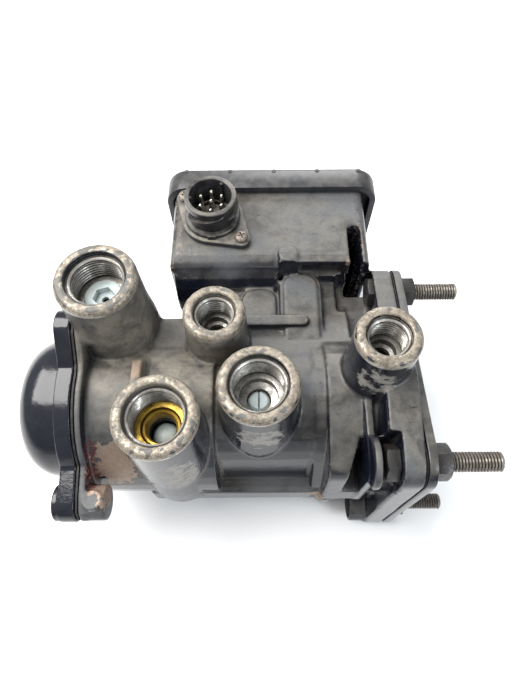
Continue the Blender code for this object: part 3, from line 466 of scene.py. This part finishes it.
def drawn_in(outline, distance):
    """The outline moved inwards along the mean normal of each corner."""
    if not distance:
        return outline
    moved = []
    count = len(outline)
    for index, (u, v) in enumerate(outline):
        back, ahead = Vector(outline[index - 1]), Vector(outline[(index + 1) % count])
        along = (ahead - back).normalized()
        moved.append((u - along.y * distance, v + along.x * distance))
    return moved


def arc(centre, radius, start, end, steps):
    points = []
    for step in range(steps + 1):
        angle = math.radians(start + (end - start) * step / steps)
        points.append((centre[0] + radius * math.cos(angle), centre[1] + radius * math.sin(angle)))
    return points


def rounded(span_u, span_v, radius, steps=10):
    (u0, u1), (v0, v1) = span_u, span_v
    outline = arc((u1 - radius, v0 + radius), radius, -90, 0, steps)
    outline += arc((u1 - radius, v1 - radius), radius, 0, 90, steps)
    outline += arc((u0 + radius, v1 - radius), radius, 90, 180, steps)
    return outline + arc((u0 + radius, v0 + radius), radius, 180, 270, steps)


def hull(circles, steps=96):
    """The taut outline around circles (u, v, radius), anticlockwise."""
    points = sorted({(round(x, 4), round(y, 4)) for u, v, r in circles for x,
                     y in arc((u, v), r, 0, 360, steps)})
    halves = []
    for run in (points, points[::-1]):
        half = []
        for point in run:
            while len(half) > 1 and side_of(half[-2], half[-1], point) <= 1e-6:
                half.pop()
            half.append(point)
        halves.append(half[:-1])
    return halves[0] + halves[1]


def side_of(a, b, c):
    return (b[0] - a[0]) * (c[1] - a[1]) - (b[1] - a[1]) * (c[0] - a[0])


def pour(whole, other):
    """Add one bmesh to another and free it."""
    spare = bpy.data.meshes.new("spare")
    other.to_mesh(spare)
    other.free()
    whole.from_mesh(spare)
    bpy.data.meshes.remove(spare)


def joined(whole, *others):
    """Several bmeshes in one."""
    for other in others:
        pour(whole, other)
    return whole


def piece(name, bm, mats, nodes=(), body=HOUSING, angle=38):
    """A finished piece from a mesh in millimetres."""
    bmesh.ops.scale(bm, vec=(MM, MM, MM), verts=bm.verts)
    mesh = bpy.data.meshes.new(name)
    bm.to_mesh(mesh)
    bm.free()
    obj = bpy.data.objects.new(name, mesh)
    bpy.context.scene.collection.objects.link(obj)
    for key in [mats] if isinstance(mats, str) else mats:
        mesh.materials.append(MATS[key])
    smooth(mesh, angle)
    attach(obj, body)
    if nodes:
        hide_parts(*nodes)
    return obj


def smooth(mesh, angle):
    mesh.shade_smooth()
    mesh.set_sharp_from_angle(angle=math.radians(angle))


def loose(bm, name="tool"):
    """A helper object in metres, to be used up by cut() or cast()."""
    bmesh.ops.scale(bm, vec=(MM, MM, MM), verts=bm.verts)
    mesh = bpy.data.meshes.new(name)
    bm.to_mesh(mesh)
    bm.free()
    obj = bpy.data.objects.new(name, mesh)
    bpy.context.scene.collection.objects.link(obj)
    return obj


def settle(obj):
    """Replace an object's mesh by what its modifiers make of it."""
    bpy.context.view_layer.update()
    graph = bpy.context.evaluated_depsgraph_get()
    mesh = bpy.data.meshes.new_from_object(obj.evaluated_get(graph))
    old = obj.data
    obj.modifiers.clear()
    obj.data = mesh
    bpy.data.meshes.remove(old)


def cut(obj, tools, operation="DIFFERENCE"):
    for tool in tools:
        modifier = obj.modifiers.new("cut", "BOOLEAN")
        modifier.operation = operation
        modifier.solver = "EXACT"
        modifier.object = tool
    settle(obj)
    for tool in tools:
        bpy.data.objects.remove(tool)


def bevel(obj, width, segments=2, angle=35):
    """Round the sharp edges of a crisp piece."""
    bm = bmesh.new()
    bm.from_mesh(obj.data)
    bmesh.ops.remove_doubles(bm, verts=bm.verts, dist=2e-6)
    bmesh.ops.dissolve_limit(bm, angle_limit=math.radians(1.5), verts=bm.verts, edges=bm.edges)
    bm.to_mesh(obj.data)
    bm.free()
    modifier = obj.modifiers.new("bevel", "BEVEL")
    modifier.width = width * MM
    modifier.segments = segments
    modifier.limit_method = "ANGLE"
    modifier.angle_limit = math.radians(angle)
    modifier.use_clamp_overlap = True
    settle(obj)


def copy_of(node):
    """A helper object with a CAD node's mesh."""
    obj = bpy.data.objects.new("copy", NODES[node].data.copy())
    obj.data.materials.clear()
    bpy.context.scene.collection.objects.link(obj)
    return obj


def cast(name, source, extras, grid, mats, nodes):
    """A cast piece: everything melted together, with soft inside and outside corners."""
    voxel, passes, faces = grid
    bm = bmesh.new()
    bm.from_mesh(source.data)
    for extra in extras:
        bmesh.ops.scale(extra, vec=(MM, MM, MM), verts=extra.verts)
        pour(bm, extra)
    bm.to_mesh(source.data)
    bm.free()
    melt = source.modifiers.new("melt", "REMESH")
    melt.mode = "VOXEL"
    melt.voxel_size = voxel * MM
    relax = source.modifiers.new("relax", "SMOOTH")
    relax.factor = 0.5
    relax.iterations = passes
    settle(source)
    if len(source.data.polygons) * 2 > faces:
        thin = source.modifiers.new("thin", "DECIMATE")
        thin.ratio = faces / (len(source.data.polygons) * 2)
        settle(source)
    source.name = name
    source.data.name = name
    source.data.materials.clear()
    source.data.materials.append(MATS[mats])
    source.data.shade_smooth()
    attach(source, HOUSING)
    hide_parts(*nodes)
    return source


def mark_relief(obj, reach=6, start=0.10, gain=2.6):
    """Store how hollow or proud the surface is at each point, for dirt, wear on edges and painted shade
    in hollows.
    """
    mesh = obj.data
    count = len(mesh.vertices)
    points = np.empty(count * 3, np.float32)
    mesh.vertices.foreach_get("co", points)
    points = points.reshape(-1, 3).astype(float)
    normals = np.empty(count * 3, np.float32)
    mesh.vertices.foreach_get("normal", normals)
    normals = normals.reshape(-1, 3)
    pairs = np.empty(len(mesh.edges) * 2, np.int32)
    mesh.edges.foreach_get("vertices", pairs)
    first, second = pairs[0::2], pairs[1::2]
    degree = np.maximum(np.bincount(pairs, minlength=count), 1)[:, None]
    relaxed = points.copy()
    for _ in range(reach):
        total = np.zeros_like(points)
        for letter in range(3):
            total[:, letter] = np.bincount(first, relaxed[second, letter], count)
            total[:, letter] += np.bincount(second, relaxed[first, letter], count)
        relaxed = total / degree
    lift = ((relaxed - points) * normals).sum(1) / MM
    for label, value in (("hollow", np.clip((lift - start) * gain, 0, 1)),
                         ("edge", np.clip((-lift - start) * gain, 0, 1))):
        layer = mesh.attributes.new(label, "FLOAT", "POINT")
        layer.data.foreach_set("value", value.astype(np.float32))


def threaded(radius, depth, pitch, low, high, at, axis, steps, ends, inward=False):
    """Rows of a screw thread between two heights, between the end points of a closed profile."""
    rows_per_pitch = 6
    rows = int(round(abs(high - low) / pitch * rows_per_pitch))
    bm = bmesh.new()
    turn = Matrix.Translation(Vector(at)) @ AXES[axis]
    grid = []
    before, after = ends
    for r, h in before:
        grid.append(ring_row(bm, turn, lambda angle, r=r, h=h: (r, h), steps))
    for row in range(rows + 1):
        height = low + (high - low) * row / rows
        fade = min(1.0, row / rows_per_pitch, (rows - row) / rows_per_pitch)
        def spot(angle, height=height, fade=fade):
            phase = (height / pitch - angle / (2 * math.pi)) % 1.0
            wave = min(1.0, max(0.0, 1.6 * abs(2 * phase - 1) - 0.3))
            return (radius + (1 if inward else -1) * depth * wave * fade, height)
        grid.append(ring_row(bm, turn, spot, steps))
    for r, h in after:
        grid.append(ring_row(bm, turn, lambda angle, r=r, h=h: (r, h), steps))
    for lower, upper in zip(grid, grid[1:]):
        bridge(bm, lower, upper)
    return bm, grid


def ring_row(bm, turn, spot, steps):
    row = []
    for step in range(steps):
        angle = 2 * math.pi * step / steps
        r, h = spot(angle)
        row.append(bm.verts.new(turn @ Vector((r * math.cos(angle), r * math.sin(angle), h))))
    return row


# ---------------------------------------------------------------- cast body and cap

def boss_sleeve(at, size, flare, foot):
    """The outside of a port's boss, finer than the CAD's, open inside for its liner."""
    x, y, top = at
    rim = size["rim"]
    inner = size["thread"] + 1.6
    points = [
        (inner, top - 0.4), (rim - 0.7, top - 0.4), (rim + 0.15, top - 1.2), (rim + 0.4, top - 3),
        (rim + 0.95, top - flare + 8),
        (foot, top - flare - 6), (foot, top - flare - 10), (inner, top - flare - 10),
    ]
    return lathe([(r, h) for r, h in points], (x, y, 0), steps=96, closed=True)


def make_body():
    """The casting, with wells for the port liners and a few moulded marks."""
    body = copy_of("valve_body")
    tools = []
    for (x, y, top), size, _, _ in PORTS.values():
        well = [(0, top + 2), (size["thread"] + 1.5, top + 2), (size["thread"] + 1.5, top - 16.2),
                (size["step"] + 1.3, top - 16.2), (size["step"] + 1.3, top - 22.0), (0, top - 22.0)]
        tools.append(loose(lathe(well, (x, y, 0), steps=48)))
    cut(body, tools)
    extras = []
    for name, (at, size, flare, _) in PORTS.items():
        extras.append(boss_sleeve(at, size, min(flare, 34), BOSS_FEET[name]))
    disc = [(0, 70.0), (4.3, 70.0), (4.3, 75.4), (3.9, 75.9), (3.2, 75.9), (2.9, 75.5), (0, 75.5)]
    extras.append(lathe(disc, (-64.6, -76.5, 0), steps=48))
    extras.append(lathe([(0, 88.0), (4.8, 88.0), (4.8, 92.6), (4.3, 93.1), (0, 93.2)],
                        (18.5, 33.6, 0), steps=48))
    extras.append(prism(rounded((24.0, 46.0), (31.6, 33.4), 0.8, 3), 90.0, 92.25))
    mark_relief(cast("body_casting", body, extras, BODY_GRID, "cast", ["valve_body"]))


def reach_of(shape, heading):
    """How far a convex outline around the bore reaches along a heading."""
    best = 0.0
    for (y0, z0), (y1, z1) in zip(shape, shape[1:] + shape[:1]):
        side_y, side_z = y1 - y0, z1 - z0
        across = heading[0] * side_z - heading[1] * side_y
        if abs(across) < 1e-9:
            continue
        away_y, away_z = y0 - BORE_Y, z0 - BORE_Z
        along = (away_y * heading[1] - away_z * heading[0]) / across
        if -1e-9 <= along <= 1 + 1e-9:
            best = max(best, (away_y * side_z - away_z * side_y) / across)
    return best


def lobed():
    """The lobed outline of the cap, as (Y, Z)."""
    shapes = [arc((BORE_Y, BORE_Z), CAP_R, 0, 360, 180)[:-1]]
    for y, z in CAP_LUGS:
        shapes.append(hull([(y, z, CAP_LUG_R), (BORE_Y, BORE_Z, 24.0)]))
    outline = []
    for step in range(240):
        angle = math.radians(1.5 * step)
        heading = (math.cos(angle), math.sin(angle))
        reach = max(reach_of(shape, heading) for shape in shapes)
        outline.append((BORE_Y + reach * heading[0], BORE_Z + reach * heading[1]))
    return outline


def make_cap():
    """The domed end cap, with the pockets for its four screws."""
    plate = loose(prism(lobed(), -78.9, -72.0, "X"))
    knee = [(0.0, -99.6)]
    knee += [(18 + 14 * math.sin(math.radians(a)),
              -85.6 - 14 * math.cos(math.radians(a))) for a in range(0, 91, 6)]
    extras = [lathe(knee + [(32.0, -75.0), (0.0, -75.0)], (0, BORE_Y, BORE_Z), "X", 160)]
    for y, z in CAP_LUGS[1:]:
        extras.append(lathe([(0, -81.7), (7.3, -81.7), (7.7, -81.2), (7.7, -73.0), (0, -73.0)],
                            (0, y, z), "X", 64))
    cap = cast("end_cap_casting", plate, extras, CAP_GRID, "cap", ["end_cap"])
    tools = [loose(lathe([(0, -94.5), (22, -94.5), (28, -86), (28, -70), (0, -70)],
                         (0, BORE_Y, BORE_Z), "X", 64))]
    for face, (y, z) in zip(CAP_FACES, CAP_LUGS):
        well = [(0, -90), (5.4, -90), (5.4, face + 4.4), (3.3, face + 4.4), (3.3, -70), (0, -70)]
        tools.append(loose(lathe(well, (0, y, z), "X", 40)))
    cut(cap, tools)
    cap.data.materials.clear()
    cap.data.materials.append(MATS["cap"])
    smooth(cap.data, 40)
    thin = cap.modifiers.new("thin", "DECIMATE")
    thin.ratio = min(1.0, CAP_FACES_MOST / (len(cap.data.polygons) * 2))
    settle(cap)
    smooth(cap.data, 40)
    mark_relief(cap)


# ---------------------------------------------------------------- ports

def port_liner(name, at, size, bore):
    """A port's worn rim, counterbore, helical thread and stepped bore."""
    x, y, top = at
    rim, wide, thread, step = size["rim"], size["counterbore"], size["thread"], size["step"]
    before = [
        (rim + 0.46, top - 3.4), (rim + 0.42, top - 2.4), (rim + 0.2, top - 1.5),
        (rim - 0.35, top - 0.55),
        (rim - 1.1, top - 0.12), (rim - 1.8, top), (wide + 1.0, top), (wide + 0.35, top - 0.12),
        (wide, top - 0.5),
        (wide, top - 2.1), (wide - 0.1, top - 2.2), (thread + 0.5, top - 2.6),
    ]
    after = [
        (thread + 0.2, top - 14.9), (step + 0.5, top - 15.0), (step + 0.1, top - 15.1),
        (step, top - 15.4),
        (step, top - 18.9), (step - 0.2, top - 19.0), (bore + 0.4, top - 19.0),
        (bore + 0.05, top - 19.2),
        (bore, top - 19.6), (bore, top - 21.6), (step + 1.0, top - 21.6), (step + 1.0, top - 16.0),
        (thread + 1.8, top - 16.0), (thread + 1.8, top - 3.4),
    ]
    bm, grid = threaded(thread - 0.12, 0.82, PORT_PITCH, top - 3.2, top - 14.4, (x, y, 0), "Z", 96,
                        (before, after), True)
    bridge(bm, grid[-1], grid[0])
    bmesh.ops.recalc_face_normals(bm, faces=bm.faces)
    bm.normal_update()
    for face in bm.faces:
        middle = face.calc_center_median().z
        face.material_index = 0 if middle > top - 2.35 else 1
        if name == "b" and middle < top - 14.7:
            face.material_index = 2
    shift = Vector((x, y, top))
    for vert in bm.verts:
        height = vert.co.z - top
        if height > -3.5:
            amount = 0.30 if height > -1.6 else 0.12
            vert.co += vert.normal * min(0.0, noise.noise((vert.co + shift) / 2.3) * amount + 0.02)
    liner = piece(f"port_{name}_liner", bm, ["rim", "thread", "amber"], angle=50)
    mark_relief(liner, 3, 0.02, 7.0)
    # Hollow values give the thread roots painted shade; below the thread they are cleared.
    below = (top - 14.6) * MM
    root_shade = liner.data.attributes["hollow"].data
    for index, vert in enumerate(liner.data.vertices):
        if vert.co.z < below:
            root_shade[index].value = 0.0


def make_ports():
    """The five port liners, and what is seen inside port B."""
    for name, (at, size, _, bore) in PORTS.items():
        port_liner(name, at, size, bore)
    x, y, top = PORTS["b"][0]
    seat = [(7.7, top - 18.7), (7.7, top - 16.6), (7.3, top - 16.1), (6.5, top - 16.0),
            (5.95, top - 16.4), (5.7, top - 17.0),
            (5.7, top - 18.7)]
    piece("port_b_seat_ring", lathe(seat, (x, y, 0), closed=True), "amber", ["port_b_seat"])
    dome = [(0, 87.0), (5.4, 87.0), (5.4, 88.5), (5.1, 89.5), (4.4, 90.6), (3.3, 91.4), (1.8, 92.0),
            (0, 92.2)]
    piece("port_b_dome", lathe(dome, (x, y, 0)), "white", ["port_b_plunger"],
          "plunger_b")


# ---------------------------------------------------------------- flange and fasteners

def hexagon(across, lean):
    return arc((0, 0), across / math.sqrt(3), lean, lean + 360, 6)[:-1]


def hex_block(y, z, low, high, lean, both_ends):
    """A hexagon along X whose corners are turned off at one end or both."""
    points = [(y + u, z + v) for u, v in hexagon(HEX_AF, lean)]
    block = loose(prism(points, low, high, "X"))
    far_end = [(8.2, high - 1.0), (6.2, high)] if both_ends else [(8.2, high)]
    turned = [(0, low), (6.2, low), (8.2, low + 1.0), *far_end, (0, high)]
    cut(block, [loose(lathe(turned, (0, y, z), "X", 64))], "INTERSECT")
    bevel(block, 0.18, 2)
    return block


def as_bmesh(obj):
    """The mesh of a helper object in millimetres. The object goes."""
    bm = bmesh.new()
    bm.from_mesh(obj.data)
    bpy.data.objects.remove(obj)
    bmesh.ops.scale(bm, vec=(1 / MM,) * 3, verts=bm.verts)
    return bm


def make_bolts():
    """The three studs with helical threads, and their nuts."""
    for index, (y, z) in enumerate(FLANGE_BOLTS):
        high, tip, lean = STUDS[index]
        low = high - HEAD_HEIGHT
        before = [(0.001, high - 0.4), (3.4, high - 0.4), (3.98, high - 0.39)]
        after = [(3.5, tip - 0.35), (3.1, tip), (0.001, tip)]
        shank, _ = threaded(3.98, 0.62, STUD_PITCH, high + 1.5, tip - 0.7, (0, y, z), "X", 48,
                            (before, after))
        bmesh.ops.recalc_face_normals(shank, faces=shank.faces)
        head = as_bmesh(hex_block(y, z, low, high, lean, False))
        bolt = joined(shank, head)
        for face in bolt.faces:
            face.material_index = 1 if face.calc_center_median().x < high + 0.01 else 0
        stud = piece(f"stud_bolt_{index + 1}", bolt, ["bolt", "oxide"],
                     [f"mounting_bolt_{index + 1}"])
        # Hollow values give the stud's thread roots painted shade.
        mark_relief(stud, 3, 0.01, 7.0)
        nut = hex_block(y, z, *NUT_X, 20.0 * index, True)
        bore = lathe([(0, 70), (4.35, 70), (4.35, 80), (0, 80)], (0, y, z), "X", 48)
        cut(nut, [loose(bore)])
        nut.name = nut.data.name = f"hex_nut_{index + 1}"
        nut.data.materials.append(MATS["oxide"])
        smooth(nut.data, 30)
        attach(nut, HOUSING)
        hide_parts(f"mounting_nut_{index + 1}")


def make_flange_cover():
    """The three-lugged plate under the nuts, with a ring turned into its face."""
    lugs = [(y, z, FLANGE_LUG_R) for y, z in FLANGE_BOLTS]
    outline = hull(lugs + [(BORE_Y, 59.0, 34.0)])
    cover = loose(prism(outline, *COVER_X, "X", 0.6))
    tools = []
    for y, z in FLANGE_BOLTS:
        tools.append(loose(lathe([(0, 60), (4.3, 60), (4.3, 80), (0, 80)], (0, y, z), "X", 40)))
    tools.append(loose(lathe([(10.5, 71.2), (26, 71.2), (26, 75), (10.5, 75)], (0, BORE_Y, BORE_Z),
                             "X", 96, True)))
    cut(cover, tools)
    piece("flange_plate", as_bmesh(cover), "plate", ["flange_cover"])


def pan_screw(name, x, y, node):
    """A pan head with a cross recess, on top of the connector's foot."""
    head = [(0, 95.6), (3.2, 95.6), (3.3, 96.1), (3.1, 96.9), (2.4, 97.5), (1.2, 97.8), (0, 97.85)]
    block = loose(lathe(head, (x, y, 0), steps=64))
    tools = []
    for lean in (25, 115):
        side = Vector((math.cos(math.radians(lean)), math.sin(math.radians(lean))))
        across = Vector((-side.y, side.x))
        corners = [side * 1.75 + across * 0.36, side * -1.75 + across * 0.36,
                   side * -1.75 - across * 0.36, side * 1.75 - across * 0.36]
        slot = prism([(x + c.x, y + c.y) for c in corners], 96.5, 99.0)
        tools.append(loose(slot))
    cut(block, tools)
    shank = lathe([(0, 89.0), (1.1, 89.0), (1.1, 95.7), (0, 95.7)], (x, y, 0), steps=32)
    bm = joined(as_bmesh(block), shank)
    piece(name, bm, "screw", [node])


def socket_screw(name, at, axis, head_r, low, high, shank_r, end, node, mat):
    """A cylinder head with a hexagon socket, facing the low end."""
    head = [(0, low), (head_r - 0.5, low), (head_r, low + 0.5), (head_r, high), (0, high)]
    block = loose(lathe(head, at, axis, 48))
    spot = {"X": (at[1], at[2]), "Y": (at[0], at[2])}[axis]
    key = [(spot[0] + u, spot[1] + v) for u, v in hexagon(head_r * 0.95, 11.0)]
    deep = low + (high - low) * 0.6
    outside = low - 1 if low < high else low + 1
    cut(block, [loose(prism(key, min(outside, deep), max(outside, deep), axis))])
    shank = lathe([(0, high), (shank_r, high), (shank_r, end), (0, end)], at, axis, 24)
    piece(name, joined(as_bmesh(block), shank), mat, [node])


def make_screws():
    for index, (x, y) in enumerate(PLUG_SCREWS):
        pan_screw(f"plug_screw_{index + 1}", x, y, f"connector_screw_{index + 1}")
    for index, (y, z) in enumerate(CAP_LUGS):
        low = CAP_FACES[index] + 0.4
        socket_screw(f"cap_screw_{index + 1}", (0, y, z), "X", 5.0, low, low + 3.7, 2.5,
                     CAP_SCREW_ENDS[index],
                     f"end_cap_screw_{index + 1}", "bolt")
    for index, (x, z) in enumerate(LID_SCREWS):
        socket_screw(f"cover_screw_{index + 1}", (x, 0, z), "Y", 3.7, 83.4, 80.9, 1.6, 67.5,
                     f"lid_screw_{index + 1}", "screw")


# ---------------------------------------------------------------- electronics lid and connector

def make_lid():
    """The lid: rounded outer edge, a raised field with ribs at the back, and five nubs on top."""
    outline = rounded((-42.2, 64.7), (0.0, 96.5), 11.5, 14)
    bm = bmesh.new()
    levels = [(70.5, 0.35), (70.6, 0.1), (70.9, 0.0), (81.2, 0.0), (82.3, 0.3), (83.2, 1.0),
              (83.75, 1.9), (84.0, 3.0)]
    rows = []
    for height, inward in levels:
        rows.append([bm.verts.new((u, height, v)) for u, v in drawn_in(outline, inward)])
    lid = loose(capped(bm, rows))
    tools = [loose(prism(rounded((-39.2, 61.7), (3.0, 93.5), 8.5), 69.0, 76.6, "Y")),
             loose(prism(rounded((-33.0, 53.0), (9.0, 87.0), 15.0), 75.0, 81.0, "Y"))]
    for x, z in LID_SCREWS:
        well = [(0, 60), (2.3, 60), (2.3, 80.6), (4.2, 80.6), (4.2, 90), (0, 90)]
        tools.append(loose(lathe(well, (x, 0, z), "Y", 40)))
    field = [loose(prism(rounded((-24.0, 44.0), (20.0, 76.0), 7.0), 83.2, 85.0, "Y"))]
    cut(lid, tools + field)
    bm = as_bmesh(lid)
    ribs = [prism(rounded((-20.0 + 12.4 * i, -17.6 + 12.4 * i), (25.0, 71.0), 1.1, 6), 82.9, 83.85,
                  "Y", 0.25) for i in range(6)]
    nubs = []
    for x in (-31.5, -9.6, 12.4, 34.2, 55.0):
        nubs.append(lathe([(0, 94.0), (1.3, 94.0), (1.3, 96.3), (1.0, 96.75), (0, 96.85)],
                          (x, 81.4, 0), steps=24))
    piece("lid_shell", joined(bm, *ribs, *nubs), "lid", ["electronics_lid"], angle=30)


def helix_ridge(start, sweep, low, rise, inner, outer, height):
    """A bayonet ramp: a bar wound round the connector."""
    x, y = PLUG_XY
    bm = bmesh.new()
    rows = []
    steps = 40
    for step in range(steps + 1):
        share = step / steps
        angle = math.radians(start + sweep * share)
        base = low + rise * share
        taper = min(1.0, 6 * share + 0.15, 6 * (1 - share) + 0.15)
        reach = inner + (outer - inner) * taper
        section = [(inner, base), (reach - 0.25, base), (reach, base + 0.3),
                   (reach, base + height - 0.3), (reach - 0.25, base + height),
                   (inner, base + height)]
        across, along = math.cos(angle), math.sin(angle)
        rows.append([bm.verts.new((x + r * across, y + r * along, h)) for r, h in section])
    return capped(bm, rows)


def make_connector():
    """The bayonet connector: foot, barrel with ramps and keys, and seven pins."""
    x, y = PLUG_XY
    deck = DECK_Z + 0.3
    foot = loose(prism(hull([(x, y, 15.0)] + [(sx, sy, 4.3) for sx, sy in PLUG_SCREWS]), deck,
                       deck + 3.0, "Z", 0.7))
    tools = [loose(lathe([(0, 90), (1.8, 90), (1.8, 99), (0, 99)], (sx, sy, 0), steps=32)) for sx,
             sy in PLUG_SCREWS]
    tools.append(loose(lathe([(0, 90), (9.0, 90), (9.0, 99), (0, 99)], (x, y, 0), steps=64)))
    cut(foot, tools)
    piece("plug_foot", as_bmesh(foot), "plug_foot")
    top = PLUG_TOP
    shell = [
        (12.6, deck + 2.4), (13.4, deck + 2.9), (13.4, deck + 4.6), (12.9, deck + 5.1),
        (11.3, deck + 5.4), (11.1, top - 9.2), (11.1, top - 4.4),
        (11.5, top - 3.6), (12.1, top - 3.0), (12.1, top - 0.5), (11.8, top - 0.1), (11.4, top),
        (10.2, top), (9.9, top - 0.2),
        (9.8, top - 0.5), (9.8, deck + 3.6), (9.4, deck + 3.4), (0, deck + 3.4), (0, deck + 0.4),
        (12.6, deck + 0.4),
    ]
    barrel = lathe(shell, (x, y, 0), steps=128, closed=True)
    bmesh.ops.remove_doubles(barrel, verts=barrel.verts, dist=1e-4)
    ramps = [helix_ridge(start, 118, top - 9.6, 6.0, 10.9, 12.7, 1.6) for start in (-165, -45, 75)]
    key = prism(rounded((x - 2.0, x + 2.0), (y - 14.1, y - 12.0), 0.4, 3), deck + 1.0, deck + 5.4,
                "Z", 0.3)
    keys = []
    for index, lean in enumerate((60, 180, 300)):
        a = math.radians(lean)
        mid = (x + 9.55 * math.cos(a), y + 9.55 * math.sin(a))
        keys.append(lathe([(0, deck + 3.0), (0.75, deck + 3.0), (0.75, top - 1.4), (0.4, top - 1.0),
                           (0, top - 1.0)], (*mid, 0), steps=16))
    collar = lathe([(8.2, deck + 3.2), (8.2, deck + 5.6), (7.9, deck + 5.9), (7.5, deck + 5.9),
                    (7.3, deck + 5.6), (7.3, deck + 3.2)],
                   (x, y, 0), steps=96, closed=True)
    piece("plug_shell", joined(barrel, *ramps, key, *keys, collar), "plug",
          ["connector_shell"], angle=32)
    places = [(x, y)]
    for index in range(6):
        angle = math.radians(60 * index + 30)
        places.append((x + 5.6 * math.cos(angle), y + 5.6 * math.sin(angle)))
    for index, (px, py) in enumerate(places):
        pin = [(0, 86.0), (1.0, 86.0), (1.0, 105.4), (0.8, 106.3), (0.45, 106.8), (0, 106.9)]
        piece(f"contact_pin_{index + 1}", lathe(pin, (px, py, 0), steps=24), "pin",
              [f"connector_pin_{index + 1}"])


def make_silencer():
    """The exhaust silencer: a ribbed plastic cup under the body."""
    wall = [(13.0, 5.0), (13.0, 14.9), (18.5, 14.9), (19.0, 14.2), (19.0, 11.6), (18.3, 11.2),
            (18.3, 9.6), (19.0, 9.2), (19.0, 6.6),
            (18.3, 6.2), (18.3, 4.6), (19.0, 4.2), (19.0, 1.0), (18.6, 0.3), (18.0, 0.0),
            (6.0, 0.0), (5.6, 0.5), (0, 0.6), (0, 5.0)]
    shell = lathe(wall, (SILENCER_X, BORE_Y, 0), steps=96, closed=True)
    bmesh.ops.remove_doubles(shell, verts=shell.verts, dist=1e-4)
    piece("silencer_cup", shell, "silencer", ["exhaust_silencer"], angle=32)


# ---------------------------------------------------------------- CAD nodes that are shown as they are

NODE_MATS = {
    "rubber": ("gasket", "seal"),
    "steel": ("spring", "ring"),
    "brass": ("valve_guide", "inlet_seat"),
    "board": ("circuit_board",),
    "resin": ("solenoid_coil",),
    "pin": ("pressure_sensor",),
    "white": ("port_a_filter", "port_d_plunger"),
    "piston": ("relay_piston", "inlet_valve", "control_piston", "solenoid_armature"),
}


def dress_nodes():
    """Give each CAD node still shown the first material whose words its name has."""
    for name, node in NODES.items():
        if node.hide_render:
            continue
        for key, words in NODE_MATS.items():
            if any(word in name for word in words):
                node.data.materials.clear()
                node.data.materials.append(MATS[key])
                break


# ---------------------------------------------------------------- stage (metres)

FLOOR_Z = -0.0002
FLOOR_REACH = 3.0
SKY = (0.93, 0.96, 1.0, 1.0)
SKY_STRENGTH = 0.42
LAMPS = {
    "key": ((-0.34, 0.10, 0.62), (0.0, -0.02, 0.05), 0.55, 11.0, (1.0, 0.98, 0.95)),
    "fill": ((0.50, -0.42, 0.50), (0.0, -0.02, 0.05), 0.30, 3.2, (0.90, 0.95, 1.0)),
    "back": ((0.10, 0.60, 0.40), (0.0, 0.0, 0.05), 0.30, 3.0, (1.0, 1.0, 1.0)),
}
CAMERA_AT = (0.006, -0.115, 0.296)
CAMERA_TILT = 25.72
CAMERA_ROLL = -0.45
LENS = 27.0
SENSOR = 36.0
NEAR = 0.01


def make_stage():
    floor = bpy.data.objects.new("floor", bpy.data.meshes.new("floor"))
    bm = bmesh.new()
    bmesh.ops.create_grid(bm, x_segments=1, y_segments=1, size=FLOOR_REACH)
    bm.to_mesh(floor.data)
    bm.free()
    floor.location.z = FLOOR_Z
    paper = Graph("floor_paper", roughness=0.9)
    paper.colour(paper.blend(paper.grain(300, 2), (0.86, 0.86, 0.86), (0.89, 0.89, 0.89)))
    floor.data.materials.append(paper.material)
    bpy.context.scene.collection.objects.link(floor)

    world = bpy.data.worlds.new("studio")
    bpy.context.scene.world = world
    world.use_nodes = True
    world.node_tree.nodes["Background"].inputs["Color"].default_value = SKY
    world.node_tree.nodes["Background"].inputs["Strength"].default_value = SKY_STRENGTH
    for name, spec in LAMPS.items():
        lamp(name, *spec)


def lamp(name, at, to, size, energy, colour):
    light = bpy.data.lights.new(name, "AREA")
    light.size = size
    light.energy = energy
    light.color = colour
    obj = bpy.data.objects.new(name, light)
    bpy.context.scene.collection.objects.link(obj)
    obj.location = at
    obj.rotation_mode = "QUATERNION"
    obj.rotation_quaternion = (Vector(to) - Vector(at)).to_track_quat("-Z", "Y")


def make_camera():
    data = bpy.data.cameras.new("camera")
    data.lens = LENS
    data.sensor_width = SENSOR
    data.clip_start = NEAR
    camera = bpy.data.objects.new("camera", data)
    bpy.context.scene.collection.objects.link(camera)
    tilt = Matrix.Rotation(math.radians(CAMERA_TILT), 4, "X")
    roll = Matrix.Rotation(math.radians(CAMERA_ROLL), 4, "Z")
    camera.matrix_world = Matrix.Translation(CAMERA_AT) @ (tilt @ roll)
    bpy.context.scene.camera = camera
    bpy.context.scene.view_settings.view_transform = "Standard"


make_camera()
make_stage()
make_body()
make_cap()
make_ports()
make_flange_cover()
make_bolts()
make_screws()
make_lid()
make_connector()
make_silencer()
dress_nodes()
